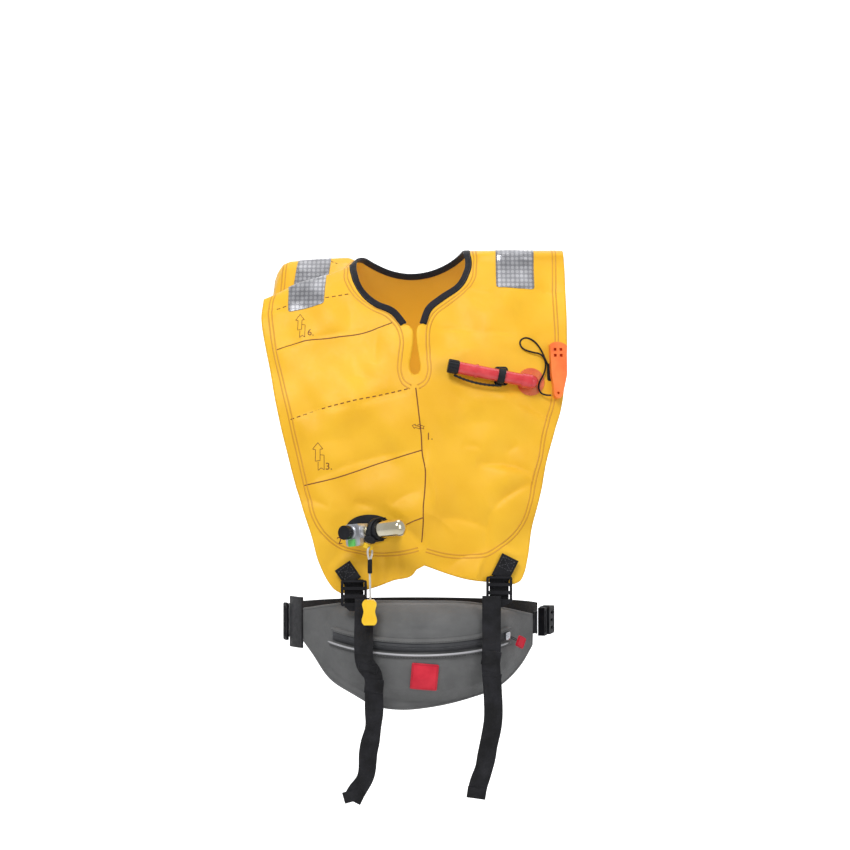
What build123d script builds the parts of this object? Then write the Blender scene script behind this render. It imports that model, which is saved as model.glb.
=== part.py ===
from build123d import *
import os
from math import cos, pi, radians, sin, sqrt, tan

# Inflatable life jacket of the belt-pack kind, worn and unpacked: a flat two-sheet bladder over the
# shoulders and chest, held by two straps to a waist pouch on a belt.
# X runs to the left hand of the wearer, -Y to the front, +Z up. The origin is the crest of the
# shoulders on the middle line, where the jacket rests on the neck.

# ---------------------------------------------------------------- driving dimensions (mm, degrees)
CHEST_DEPTH = 125.0      # crest of the shoulders to the fullest chest
CHEST_RISE = 280.0       # height of the crest above the fullest chest
BACK_DEPTH = 95.0        # crest to the shoulder blades
BACK_RISE = 140.0
FORM_HALF_WIDTH = 320.0  # roundness of the chest: the half width at which the form would close
DROOP_START = 55.0       # the right shoulder of the jacket sags beyond this half width
DROOP_SLOPE = 0.30
DROOP_SOFT = 30.0        # how gradually the sag begins
FRONT_DROP = 3.0         # straight fall per degree of sheet below the chest
BACK_DROP = 2.0

SHEET = 0.6              # thickness of one coated sheet
SHEET_GAP = 0.3          # air left between the two sheets
OUTER_FACE = 2 * SHEET + SHEET_GAP
CLEAR = 0.3              # clearance between neighbours
BINDING_HALF = 4.0       # half width of the neck binding
TAPE = 0.4               # reflective tape

WEBBING = 25.0           # strap width
WEB_THICK = 1.5

TUBE_R = 7.2             # oral tube
CAP_R = 8.3
CORD_D = 2.0             # whistle cord
LANYARD_D = 2.3          # pull cord

INFLATOR_AT = Vector(-64, -144, -329)
INFLATOR_TURN = 35.0     # the gas cylinder points this far out of the chest
INFLATOR_LIFT = 6.0      # and this far up
CYLINDER_R = 10.0
CYLINDER_END = 66.0
STEM_X = -5.0
STEM_R = 3.2

GIRTH_A = 150.0          # half width of the waist
GIRTH_B = 116.0          # half depth of the waist
BELT_WIDTH = 38.0
BELT_Z = -440.0
BAG_TILT = 13.0          # the pouch and its zip lean forward
BAG_CENTRE = Vector(7, -22.5, -424.8)
ZIP_R = 130.0
ZIP_HALF = 5.5
ZIP_HEIGHT = -7.0        # middle of the zip along the bag's leaning axis
PIPING_R = 135.4
ZIP_CLOSED = 49.6        # slider place, degrees round the bag from its middle
ZIP_OPEN = -48.0

TOP = 30.0               # cutting shapes reach this far above the crest
FAR = 300.0              # and this far fore and aft
PAST = 20.0              # and start this far on the other side of the crest


# ---------------------------------------------------------------- the shape of the worn sheet
def form_width(x):
    """How far the chest form still stands out at this half width."""
    return sqrt(1 - (x / FORM_HALF_WIDTH) ** 2)


def form_base(x, t):
    """A point of the form: t is 0 on the crest, 90 at the fullest chest, negative on the back."""
    beyond = -x - DROOP_START
    droop = DROOP_SLOPE * (sqrt(beyond ** 2 + DROOP_SOFT ** 2) + beyond) / 2 * cos(radians(t)) ** 2
    if t < -90:
        return Vector(x, BACK_DEPTH * form_width(x), -BACK_RISE + (t + 90) * BACK_DROP)
    if t < 0:
        y = BACK_DEPTH * sin(radians(-t)) * form_width(x)
        return Vector(x, y, -BACK_RISE * (1 - cos(radians(t))) - droop)
    if t <= 90:
        y = -CHEST_DEPTH * sin(radians(t)) * form_width(x)
        return Vector(x, y, -CHEST_RISE * (1 - cos(radians(t))) - droop)
    return Vector(x, -CHEST_DEPTH * form_width(x), -CHEST_RISE - (t - 90) * FRONT_DROP)


def form(x, t, lift=0.0):
    """A point at a height above the form."""
    step = 0.001
    across = form_base(x + step, t) - form_base(x - step, t)
    along = form_base(x, t + step) - form_base(x, t - step)
    return form_base(x, t) + along.cross(across).normalized() * lift


def front_turn(x, z, lift=0.0):
    """The t of the point of the front at this x and z, at a height above the form."""
    low, high = 0.0, 170.0
    for _ in range(40):
        t = (low + high) / 2
        if form(x, t, lift).Z > z:
            low = t
        else:
            high = t
    return (low + high) / 2


def on_front(x, z, lift=0.0):
    """The point of the front of the form at this x and z, at a height above it."""
    return form(x, front_turn(x, z, lift), lift)


def tangent_plane(x, z, lift):
    """A plane that lies on the front of the form: z outward, y up."""
    t = front_turn(x, z, lift)
    out = (form(x, t, lift + 1) - form(x, t, lift)).normalized()
    right = Vector(0, 0, 1).cross(out).normalized()
    return Plane(origin=form(x, t, lift), x_dir=right, z_dir=out)


ACROSS = [-190 + 38 * i for i in range(11)]
ROWS = [-105, -90, -70, -50, -32, -18, -8, 0, 6, 14, 25, 38, 52, 70, 90, 110, 134]


def layer(lift, thick, forward=True):
    """The front or the back half of the form as a sheet, from lift to lift + thick above it."""
    points = [[form(x, t, lift) for x in ACROSS] for t in ROWS]
    face = Face.make_surface_from_array_of_points(points, tol=0.05)
    whole = Solid.thicken(face, thick)
    return split(whole, bisect_by=Plane.XZ, keep=Keep.TOP if forward else Keep.BOTTOM)


# ---------------------------------------------------------------- helpers
def flat(points):
    return [Vector(x, 0, z) for x, z in points]


def curve(*points):
    return Spline(*flat(points))


def line(a, b):
    return Line(*flat([a, b]))


def prism(edges, forward=True):
    """The outline, given in x and z, carried to the front or to the back."""
    way = -1 if forward else 1
    face = Face(Wire([edge for part in edges for edge in part.edges()]))
    return Pos(0, -way * PAST, 0) * extrude(face, amount=FAR, dir=(0, way, 0))


def polygon(points, forward=True):
    return prism([Polyline(*flat(points), close=True)], forward)


def beside(points, distance):
    """The same path moved sideways, to the left of its direction for a positive distance."""
    moved = []
    for i, (x, z) in enumerate(points):
        x0, z0 = points[max(i - 1, 0)]
        x1, z1 = points[min(i + 1, len(points) - 1)]
        run = sqrt((x1 - x0) ** 2 + (z1 - z0) ** 2)
        moved.append((x - (z1 - z0) / run * distance, z + (x1 - x0) / run * distance))
    return moved


def rod(a, b, radius):
    """A round bar between two points."""
    plane = Plane(origin=a, z_dir=b - a)
    return extrude(plane * Circle(radius), amount=(b - a).length)


def ribbon(centres, turns, width, thick):
    """A strap through the listed centres, its face turned about Z by the listed angles."""
    sections = []
    for i, centre in enumerate(centres):
        before = centres[max(i - 1, 0)]
        after = centres[min(i + 1, len(centres) - 1)]
        across = Vector(cos(radians(turns[i])), sin(radians(turns[i])), 0)
        along = after - before
        across = (across - along * (across.dot(along) / along.dot(along))).normalized()
        plane = Plane(origin=centre, x_dir=across, z_dir=along)
        sections.append((plane * Rectangle(width, thick)).face())
    return Solid.make_loft([face.outer_wire() for face in sections], ruled=True)


def arc_radii(points):
    """For each corner of a cord's route, the largest arc its two runs leave room for."""
    radii = []
    for before, corner, after in zip(points, points[1:], points[2:]):
        run_in = corner - before
        run_out = after - corner
        half_turn = radians(run_in.get_angle(run_out)) / 2
        radii.append(0.45 * min(run_in.length, run_out.length) / tan(half_turn))
    return radii


def cord(name, points, diameter):
    """A round cord of straight runs joined by tangent arcs."""
    radii = arc_radii(points)
    path = FilletPolyline(*points, radius=radii)
    start = Plane(origin=path @ 0, z_dir=path % 0)
    solid = sweep(start * Circle(diameter / 2), path=path)
    section = pi * diameter ** 2 / 4
    print(f"{name}: length {path.length:.1f}, radii {[round(r, 1) for r in radii]}, "
          f"volume {solid.volume:.1f} against {section * path.length:.1f}")
    return solid


# ---------------------------------------------------------------- bladder
NECK_RIGHT = [(-12, -91), (-24, -77), (-42, -67), (-62, -50), (-71, -28), (-72, 0), (-72, TOP)]
NECK_LEFT = [(10, -90), (17, -71), (33, -57), (52, -44), (62, -25), (62, 0), (61, TOP)]
SCOOP_LOW = -26.0        # the neck opening on the back yoke


def bladder_regions():
    """Everything inside the cut edge of the two sheets, to the front and to the back."""
    front = prism([
        line((176, TOP), (178, -21)),
        curve((178, -21), (178, -118), (169, -194), (150, -264), (135, -340), (126, -380)),
        curve((126, -380), (123, -387), (116, -390)),
        curve((116, -390), (86, -388), (37, -378), (14, -369)),
        curve((14, -369), (-1, -379), (-24, -386), (-49, -395), (-84, -401)),
        line((-84, -401), (-95, -393)),
        curve((-95, -393), (-116, -340), (-130, -296), (-147, -240), (-165, -155), (-178, -86),
              (-177, -62)),
        line((-177, -62), (-170, TOP)),
        line((-170, TOP), (176, TOP)),
    ])
    back = prism([
        line((176, TOP), (172, -60)),
        curve((172, -60), (166, -105), (140, -138), (90, -148), (0, -150)),
        curve((0, -150), (-90, -148), (-140, -138), (-164, -105), (-168, -60)),
        line((-168, -60), (-170, TOP)),
        line((-170, TOP), (176, TOP)),
    ], forward=False)
    return front, back


def scoop(grow):
    """The edge of the neck opening on the back."""
    left = NECK_LEFT[-2][0] + grow
    right = NECK_RIGHT[-2][0] - grow
    low = SCOOP_LOW - grow
    return ThreePointArc(*flat([(right, 0), ((left + right) / 2, low), (left, 0)]))


def neck_opening(grow):
    """The space of the neck opening, front and back, with its edge moved outward by grow."""
    right = beside(NECK_RIGHT, grow)
    left = beside(NECK_LEFT, -grow)
    front = prism([curve(*right), line(right[-1], left[-1]), curve(*left[::-1]), line(left[0], right[0])])
    x_right, x_left = NECK_RIGHT[-2][0] - grow, NECK_LEFT[-2][0] + grow
    back = prism([scoop(grow), line((x_left, 0), (x_left, TOP)), line((x_left, TOP), (x_right, TOP)),
                  line((x_right, TOP), (x_right, 0))], forward=False)
    return front, back


def keyhole():
    """The slit below the neck opening, which widens to a round end."""
    return prism([
        line((-4, -84), (-1, -103)),
        curve((-1, -103), (-3.5, -125), (-5, -144)),
        ThreePointArc(*flat([(-5, -144), (1, -150), (7, -144)])),
        curve((7, -144), (5.5, -125), (3, -103)),
        line((3, -103), (4, -84)),
        line((4, -84), (-4, -84)),
    ])


def sheet(lift):
    """One of the two coated sheets, cut to the bladder's outline with its neck opening and keyhole."""
    front, back = bladder_regions()
    neck_front, neck_back = neck_opening(BINDING_HALF)
    front_sheet = layer(lift, SHEET) & (front - neck_front - keyhole())
    back_sheet = layer(lift, SHEET, forward=False) & (back - neck_back)
    return front_sheet + back_sheet


def neck_binding():
    """Tape folded over the cut edge of both sheets, from one tip of the neck opening to the other."""
    bands = []
    for path, side in ((NECK_RIGHT, 1), (NECK_LEFT, -1)):
        outer = beside(path, side * (BINDING_HALF - CLEAR))
        inner = beside(path, -side * BINDING_HALF)
        bands.append(prism([curve(*outer), line(outer[-1], inner[-1]), curve(*inner[::-1]),
                            line(inner[0], outer[0])]))
    grow = BINDING_HALF - CLEAR
    x_right, x_left = NECK_RIGHT[-2][0], NECK_LEFT[-2][0]
    bands.append(prism([
        scoop(grow),
        line((x_left + grow, 0), (x_left + grow, TOP)),
        line((x_left + grow, TOP), (x_left - BINDING_HALF, TOP)),
        line((x_left - BINDING_HALF, TOP), (x_left - BINDING_HALF, 0)),
        scoop(-BINDING_HALF),
        line((x_right + BINDING_HALF, 0), (x_right + BINDING_HALF, TOP)),
        line((x_right + BINDING_HALF, TOP), (x_right - grow, TOP)),
        line((x_right - grow, TOP), (x_right - grow, 0)),
    ], forward=False))
    thick = OUTER_FACE + 1.4
    front = layer(-0.7, thick)
    return (front & bands[0]) + (front & bands[1]) + (layer(-0.7, thick, forward=False) & bands[2])


def reflective_tape(front_points, back_points):
    """A patch of tape carried over the crest of the shoulder."""
    lift = OUTER_FACE + 0.25
    front = layer(lift, TAPE) & polygon(front_points)
    return front + (layer(lift, TAPE, forward=False) & polygon(back_points, forward=False))


# ---------------------------------------------------------------- oral tube
TUBE_LIFT = OUTER_FACE + TUBE_R + 4.6
TUBE_END = on_front(51, -141, TUBE_LIFT)
TUBE_ROOT = on_front(133, -157, TUBE_LIFT)
TUBE_AXIS = (TUBE_ROOT - TUBE_END).normalized()
TUBE_LENGTH = (TUBE_ROOT - TUBE_END).length
ORAL = Plane(origin=TUBE_END, x_dir=(0, -1, 0), z_dir=TUBE_AXIS)
BORE_R = 5.6
NOZZLE_R = 5.5
POPPET_TRAVEL = 2.5
CAP_LENGTH = 13.0


def along_tube(start, length, radius):
    return extrude(ORAL.offset(start) * Circle(radius), amount=length)


def oral_flange():
    """The disc welded to the outer sheet round the foot of the tube."""
    disc = Plane.XZ * Pos(TUBE_ROOT.X, TUBE_ROOT.Z) * Circle(16)
    hole = Plane.XZ * Pos(TUBE_ROOT.X, TUBE_ROOT.Z) * Circle(5)
    return layer(OUTER_FACE + 0.1, 1.0) & extrude(disc - hole, amount=FAR)


def oral_elbow():
    """The moulded corner between the disc and the tube."""
    foot = on_front(TUBE_ROOT.X, TUBE_ROOT.Z, OUTER_FACE + 1.3)
    neck = rod(foot, TUBE_ROOT, TUBE_R + 0.9)
    ball = Pos(TUBE_ROOT) * Sphere(TUBE_R + 0.9)
    sleeve = along_tube(TUBE_LENGTH - 11, 11, TUBE_R + 1.6)
    body = neck + ball + sleeve
    body -= layer(-3.0, OUTER_FACE + 4.3)
    return body - along_tube(TUBE_LENGTH - 14, 14, TUBE_R + 0.02)


def oral_tube():
    return along_tube(0, TUBE_LENGTH - 0.2, TUBE_R) - along_tube(0, TUBE_LENGTH - 0.2, BORE_R)


def tube_collar():
    return along_tube(19, 3, TUBE_R + 1.0) - along_tube(18, 5, TUBE_R + 0.02)


def valve_seat():
    """Mouthpiece: a nozzle with a plug inside the tube and a bore for the valve."""
    body = along_tube(-9, 9, NOZZLE_R) + along_tube(0, 14, NOZZLE_R)
    return body - along_tube(-9, 6, 3.8) - along_tube(-9, 23, 2.2)


def valve_poppet():
    """The one-way valve: a head in the mouth of the nozzle on a stem."""
    return along_tube(-7.6, 1.8, 3.5) + along_tube(-5.9, 18, 1.6)


def oral_cap():
    """Dust cap with a lobed rim."""
    lobes = 14
    body = along_tube(-CAP_LENGTH, CAP_LENGTH - CLEAR, CAP_R - 0.7)
    for i in range(lobes):
        turn = 2 * pi * i / lobes
        at = Pos((CAP_R - 1.3) * cos(turn), (CAP_R - 1.3) * sin(turn))
        body += extrude(ORAL.offset(-CAP_LENGTH + 1) * at * Circle(1.3), amount=CAP_LENGTH - CLEAR - 2)
    return body - along_tube(-CAP_LENGTH + 2, CAP_LENGTH, NOZZLE_R + CLEAR)


KEEPER_AT = 46.0


def tube_keeper():
    """Rubber ring that holds the tube, on a foot welded to the sheet."""
    middle = TUBE_END + TUBE_AXIS * (KEEPER_AT + 4)
    foot_end = on_front(middle.X, middle.Z, OUTER_FACE + 2.4)
    ring = along_tube(KEEPER_AT, 8, TUBE_R + 2.2)
    foot = rod(foot_end, middle, 3.5)
    pad = layer(OUTER_FACE + 0.15, 1.3) & extrude(
        Plane.XZ * Pos(middle.X, middle.Z) * RectangleRounded(16, 22, 4), amount=FAR)
    return ring + foot + pad - along_tube(KEEPER_AT - 2, 12, TUBE_R + 0.05)


def cap_tether():
    """Strap from the cap to the keeper, hanging just below the tube."""
    down = Vector(0, 0, -1)
    start = TUBE_END + TUBE_AXIS * -6 + down * (CAP_R + 1.6)
    stop = TUBE_END + TUBE_AXIS * (KEEPER_AT + 4) + down * (TUBE_R + 4.2)
    middle = (start + stop) * 0.5 + down * 2.5
    return ribbon([start, middle, stop], [90, 90, 90], 3.0, 1.2)


# ---------------------------------------------------------------- whistle
WHISTLE_THICK = 8.0
WHISTLE_LIFT = OUTER_FACE + 4.2
WHISTLE_AT = (165.5, -145.0)
ANCHOR = (158.0, -146.0)


def whistle():
    """Flat pea-less whistle, widest near its mouth, with four sound windows and a cord hole."""
    outline = [
        Line((-9.5, 31), (-9.5, -5)),
        Spline((-9.5, -5), (-8, -17), (-7.5, -29)),
        ThreePointArc((-7.5, -29), (-2.5, -33), (2.5, -29)),
        Spline((2.5, -29), (6, -17), (9, -5)),
        Line((9, -5), (10.5, 29)),
        ThreePointArc((10.5, 29), (0.5, 33.5), (-9.5, 31)),
    ]
    at = tangent_plane(*WHISTLE_AT, WHISTLE_LIFT)
    body = extrude(at * Face(Wire(outline)), amount=WHISTLE_THICK)
    window = 3.4
    for x in (-4.0, 3.0):
        for y in (24.5, 17.5):
            body -= extrude(at.offset(3) * Pos(x, y) * Rectangle(window, window), amount=WHISTLE_THICK)
    hole = at.offset(-1) * Pos(-2.6, -27) * Circle(1.6)
    return body - extrude(hole, amount=WHISTLE_THICK + 2)


def whistle_anchor():
    """Webbing tab with an eyelet, sewn to the sheet behind the whistle."""
    x, z = ANCHOR
    tab = extrude(Plane.XZ * Pos(x + 4, z) * RectangleRounded(16, 20, 3), amount=FAR)
    return layer(OUTER_FACE + 0.1, 1.1) & tab


CORD_ROUTE = [(157.0, -143.0), (152.0, -132.0), (147.5, -120.0), (140.0, -109.5), (129.5, -104.5),
              (121.5, -109.5), (124.5, -118.5), (135.5, -122.5), (147.0, -124.5), (152.0, -134.0),
              (150.5, -147.0), (144.0, -157.0), (143.0, -167.0), (149.0, -173.0), (156.8, -172.5)]
CORD_LIFT = [4.1, 3.6, 2.9, 2.9, 2.9, 2.9, 3.4, 4.6, 5.9, 6.0, 5.0, 4.6, 5.0, 7.2, 9.4]


def whistle_cord():
    points = [on_front(x, z, lift) for (x, z), lift in zip(CORD_ROUTE, CORD_LIFT)]
    return cord("whistle_cord", points, CORD_D)


# ---------------------------------------------------------------- gas inflator
U = Vector(cos(radians(INFLATOR_TURN)) * cos(radians(INFLATOR_LIFT)),
           -sin(radians(INFLATOR_TURN)) * cos(radians(INFLATOR_LIFT)), sin(radians(INFLATOR_LIFT)))
N = Vector(-sin(radians(INFLATOR_TURN)), -cos(radians(INFLATOR_TURN)), 0)
GAS = Plane(origin=INFLATOR_AT, x_dir=U, z_dir=N)      # x along the cylinder, z along the stem
BODY_HALF = 9.0
LEVER_PIN = (-3.0, -12.0)
LEVER_TIP = (15.0, -19.0)
LEVER_THICK = 3.2


def gas_point(x, y, z=0.0):
    return GAS.from_local_coords(Vector(x, y, z))


def in_gas(x, y, z=0.0):
    return GAS * Pos(x, y, z)


def along_gas(start, length, radius, y=0.0, z=0.0):
    return in_gas(start, y, z) * Rot(0, 90, 0) * Cylinder(
        radius, length, align=(Align.CENTER, Align.CENTER, Align.MIN))


def along_stem(start, length, radius, x=STEM_X, y=0.0):
    return in_gas(x, y, start) * Cylinder(radius, length, align=(Align.CENTER, Align.CENTER, Align.MIN))


EYE_AT = (LEVER_TIP[0], LEVER_TIP[1] - 0.6)


def manifold_flange():
    """Rubber flange welded to the outer sheet, with a leaning boss that carries the stem."""
    plate = extrude(Plane.XZ * Pos(-51, -326) * Ellipse(27, 16), amount=FAR)
    plate &= layer(OUTER_FACE + 0.1, 2.2)
    boss = along_stem(-40, 40 - BODY_HALF - 2.4, 7.0)
    sheet_depth = -on_front(-51, -326, OUTER_FACE + 1.6).Y
    boss -= extrude(Plane.XZ * Pos(-51, -326) * Rectangle(90, 90), amount=sheet_depth)
    return plate + boss - along_stem(-14, 10, STEM_R + 0.02)


def manifold_stem():
    return along_stem(-13.9, 13.9 + 19, STEM_R)


def stem_gasket(start):
    return along_stem(start, 1.8, 6.4) - along_stem(start, 1.8, STEM_R + 0.05)


def inflator_body():
    block = in_gas(-1.5, -3.5) * Box(20, 25, 2 * BODY_HALF)
    block = fillet(block.edges().filter_by(Axis(GAS.origin, GAS.z_dir)), 3)
    block += along_gas(8.0, 4.8, 8.6)
    boss = along_stem(BODY_HALF, 2.0, 7.6)
    block += boss
    block -= along_stem(-20, 40, STEM_R + 0.05)
    block -= along_gas(2.8, 20, 6.2)
    block -= along_gas(-1.6, 6, 1.5)
    block -= in_gas(6, -18) * Box(26, 20, LEVER_THICK + 0.8)
    return block - in_gas(*LEVER_PIN) * Cylinder(1.5, 40)


def cap_nut():
    """Domed, finger-tight nut on the end of the stem, with grips round its rim."""
    start = BODY_HALF + 2.0 + 2.4
    body = along_stem(start, 7.0, 8.2)
    for i in range(12):
        turn = 2 * pi * i / 12
        body -= along_stem(start - 1, 6.5, 0.9, STEM_X + 8.4 * cos(turn), 8.4 * sin(turn))
    return body - along_stem(start - 1, 6.8, STEM_R + 0.05)


def lever():
    """Firing lever: a cam end on the pin and an arm with an eye for the pull cord."""
    (px, py), (tx, ty) = LEVER_PIN, LEVER_TIP
    arm = in_gas(0, 0) * extrude(
        Polygon((px - 2.5, py + 1.5), (px + 3, py + 2.4), (tx + 3.2, ty + 2.2), (tx + 2.6, ty - 3.4),
                (px + 1, py - 3), (px - 2.5, py - 2.2), align=None), amount=LEVER_THICK / 2, both=True)
    arm -= in_gas(px, py) * Cylinder(1.55, 20)
    return arm - in_gas(*EYE_AT) * Cylinder(1.9, 20)


def lever_pin():
    return in_gas(*LEVER_PIN) * Cylinder(1.45, 2 * BODY_HALF)


def pierce_pin():
    return along_gas(-1.3, 3.6, 1.2)


def indicator_clip():
    """Snap-off clip over the face of the body, which shows that the inflator is armed."""
    clip = in_gas(-2.5, -12.4, BODY_HALF + 0.1 + 1.2) * Box(8.5, 8.0, 2.4)
    return fillet(clip.edges().filter_by(Axis(GAS.origin, GAS.z_dir)), 1.2)


def gas_cylinder():
    """Screw-in cartridge: neck, shoulder, wall and domed end."""
    neck_r = 6.0
    profile = [
        Line((4, 0), (4, neck_r)),
        Line((4, neck_r), (13, neck_r)),
        Line((13, neck_r), (20, CYLINDER_R)),
        Line((20, CYLINDER_R), (CYLINDER_END - 8, CYLINDER_R)),
        Spline((CYLINDER_END - 8, CYLINDER_R), (CYLINDER_END - 1.4, 0.55 * CYLINDER_R), (CYLINDER_END, 0),
               tangents=[(1, 0), (0, -1)]),
        Line((CYLINDER_END, 0), (4, 0)),
    ]
    half = Face(Wire(profile))
    return GAS * revolve(half, axis=Axis.X, revolution_arc=360)


def cylinder_seal():
    return along_gas(3.0, 0.8, 5.6) - along_gas(2.5, 2, 1.6)


BAND_AT = 24.0


def cylinder_band():
    """Rubber band round the cylinder, with a tail glued to the flange."""
    ring = along_gas(BAND_AT, 8, CYLINDER_R + 2.2)
    tail = in_gas(BAND_AT + 4, 0, -24) * Box(8, 11, 26)
    behind = on_front(-20, -326, OUTER_FACE + 2.7).Y
    tail -= Pos(-50, behind + 30, -326) * Box(100, 60, 100)
    return ring + tail - along_gas(BAND_AT - 2, 12, CYLINDER_R + CLEAR)


# ---------------------------------------------------------------- pull lanyard
EYE = gas_point(*EYE_AT)
SLEEVE_TOP = EYE + Vector(0, 0, -13)
SLEEVE_LENGTH = 16.0
TOGGLE_TOP = SLEEVE_TOP + Vector(-0.6, 0, -46)
TOGGLE_THICK = 7.0
# route from the toggle up through the sleeve, through the eye of the lever and back to the sleeve,
# as distances along the stem's direction and heights over the eye
LANYARD_ROUTE = [(-0.8, -58.9), (-0.4, -43.0), (0.4, -28.0), (-1.1, -13.0), (-4.4, -7.5), (-4.1, -1.5),
                 (0.0, 1.1), (4.1, -1.5), (4.4, -7.5), (1.3, -13.6)]


def lanyard_cord():
    points = [EYE + N * along + Vector(0, 0, z) for along, z in LANYARD_ROUTE]
    return cord("lanyard_cord", points, LANYARD_D)


def lanyard_sleeve():
    low = SLEEVE_TOP + Vector(0, 0, -SLEEVE_LENGTH)
    return rod(low, SLEEVE_TOP, 2.6)


def lanyard_toggle():
    """Waisted pull handle, flat front and back."""
    x, z = TOGGLE_TOP.X, TOGGLE_TOP.Z
    edges = [
        line((x - 5, z), (x + 5, z)),
        curve((x + 5, z), (x + 8.2, z - 6), (x + 6.6, z - 13), (x + 8.7, z - 24), (x + 6, z - 29)),
        line((x + 6, z - 29), (x - 6, z - 29)),
        curve((x - 6, z - 29), (x - 8.7, z - 24), (x - 6.6, z - 13), (x - 8.2, z - 6), (x - 5, z)),
    ]
    body = extrude(Face(Wire(edges)), amount=TOGGLE_THICK / 2, dir=(0, -1, 0), both=True)
    return Pos(0, TOGGLE_TOP.Y, 0) * body


# ---------------------------------------------------------------- straps and ladder locks
# each side: corners of the tab, centre of the lock, centres (x, y, z) and face turns of the tail
SIDES = {
    "right": dict(
        tab=[(-91, -374), (-74, -363), (-58, -384), (-80, -392)], lock=Vector(-69, -131.5, -400),
        tail=[(-57, -134.6, -406), (-57.5, -138.9, -434), (-57.5, -148.3, -457), (-56, -151, -478),
              (-47, -150.5, -492), (-45.5, -150.5, -520), (-46.5, -150, -552), (-52, -149, -580),
              (-55, -148.5, -608), (-67, -148, -628), (-71, -148, -636)],
        turns=[0, 0, 0, -8, 14, 10, -32, 10, 24, 5, 0]),
    "left": dict(
        tab=[(103, -354), (119, -364), (110, -387), (86, -378)], lock=Vector(98, -126.0, -396),
        tail=[(89, -131.4, -403), (89, -132, -436), (89, -139, -458), (88, -141, -480),
              (90, -141, -510), (90.5, -141, -545), (85, -140.5, -575), (80, -140, -600),
              (73, -139.5, -622), (71, -139.5, -634)],
        turns=[0, 0, 6, -10, 8, -6, 12, -22, 0, 0]),
}
TAIL_WIDTH = 21.0
LOCK_THICK = 3.6


def strap_tab(side):
    """Webbing sewn to the corner of the bladder, ending behind the top bar of the ladder lock."""
    front = side["lock"].Y + LOCK_THICK / 2 + CLEAR
    outline = Polyline(*flat(side["tab"]), close=True)
    flat_tab = extrude(Face(Wire(outline.edges())), amount=WEB_THICK, dir=(0, -1, 0))
    return Pos(0, front + WEB_THICK, 0) * flat_tab


def ladder_lock(side):
    """Strap adjuster: a frame with three slots and a lift tab at its lower end."""
    width, height = 30.0, 30.0
    face = RectangleRounded(width, height, 2.5)
    for z in (10.0, 1.0, -8.5):
        face -= Pos(0, z) * Rectangle(width - 6, 5.4)
    frame = extrude(face, amount=LOCK_THICK / 2, both=True)
    tab = extrude(Polygon((-11, -14.5), (11, -14.5), (5, -20.5), (-5, -20.5), align=None),
                  amount=LOCK_THICK / 2 - 0.6, both=True)
    return Pos(side["lock"]) * Rot(90, 0, 0) * (frame + tab)


def load_strap(side):
    """Webbing from behind the ladder lock down to the top seam of the pouch."""
    at = side["lock"]
    back = at.Y + LOCK_THICK / 2 + CLEAR + WEB_THICK / 2
    points = [Vector(at.X, back, at.Z + 4), Vector(at.X, back + 1.5, at.Z - 9),
              Vector(at.X, back + 6, at.Z - 17)]
    return ribbon(points, [0, 0, 0], WEBBING - 3, WEB_THICK)


def strap_tail(side):
    return ribbon([Vector(*p) for p in side["tail"]], side["turns"], TAIL_WIDTH, WEB_THICK)


# ---------------------------------------------------------------- waist pouch
LEAN = radians(BAG_TILT)
BAG = Plane(origin=BAG_CENTRE, x_dir=(1, 0, 0), z_dir=(0, -sin(LEAN), cos(LEAN)))


def waist(grow, low=-560.0, high=-390.0):
    """The body's waist as an upright elliptical column."""
    section = Pos(0, 0, low) * Ellipse(GIRTH_A + grow, GIRTH_B + grow)
    return extrude(section, amount=high - low)


def pouch_region(shrink=0.0):
    """The outline of the pouch and its wings as seen from the front."""
    s = shrink
    return prism([
        curve((-133 + s, -424 - s), (-70, -413 - s), (0, -411 - s), (70, -414 - s), (139 - s, -431 - s)),
        line((139 - s, -431 - s), (138 - s, -466 + s)),
        curve((138 - s, -466 + s), (124, -487 + s), (96, -511 + s), (37, -528 + s), (-11, -534 + s),
              (-45, -530 + s), (-96, -502 + s), (-119, -472 + s), (-132 + s, -456 + s)),
        line((-132 + s, -456 + s), (-133 + s, -424 - s)),
    ])


def pouch_back_panel():
    return (waist(2.0) - waist(0)) & pouch_region()


def bag_ring(outer, low, high, start=-75.0, stop=75.0, inner=None):
    """A piece of the bag's round: between two heights and two angles of its tilted axis."""
    inner = outer - 1.0 if inner is None else inner
    face = Polygon((inner, low), (outer, low), (outer, high), (inner, high), align=None)
    upright = Plane.XZ * face
    turned = revolve(upright, axis=Axis.Z, revolution_arc=stop - start)
    return BAG * Rot(0, 0, -90 + start) * turned


def pouch_bag():
    """The closed soft bag, bulging forward below its zip."""
    profile = [
        Line((50, 34), (111, 34)),
        Spline((111, 34), (124, 18), (ZIP_R, ZIP_HEIGHT + ZIP_HALF + 1)),
        Line((ZIP_R, ZIP_HEIGHT + ZIP_HALF + 1), (ZIP_R, ZIP_HEIGHT - ZIP_HALF - 1)),
        Spline((ZIP_R, ZIP_HEIGHT - ZIP_HALF - 1), (134, -30), (130, -58), (114, -80)),
        Line((114, -80), (50, -80)),
        Line((50, -80), (50, 34)),
    ]
    half = Plane.XZ * Face(Wire(profile))
    turned = BAG * Rot(0, 0, -170) * revolve(half, axis=Axis.Z, revolution_arc=160)
    return (turned & pouch_region(3.0)) - waist(2.0 + CLEAR)


def zip_tape():
    low, high = ZIP_HEIGHT - ZIP_HALF, ZIP_HEIGHT + ZIP_HALF
    return bag_ring(ZIP_R + 1.1, low, high, ZIP_OPEN - 3, ZIP_CLOSED + 3, ZIP_R + 0.1)


def pouch_piping():
    """Light piping sewn just below the zip."""
    return bag_ring(PIPING_R, -16.5, -14.2, ZIP_OPEN - 5, ZIP_CLOSED, PIPING_R - 3.6)


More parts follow.
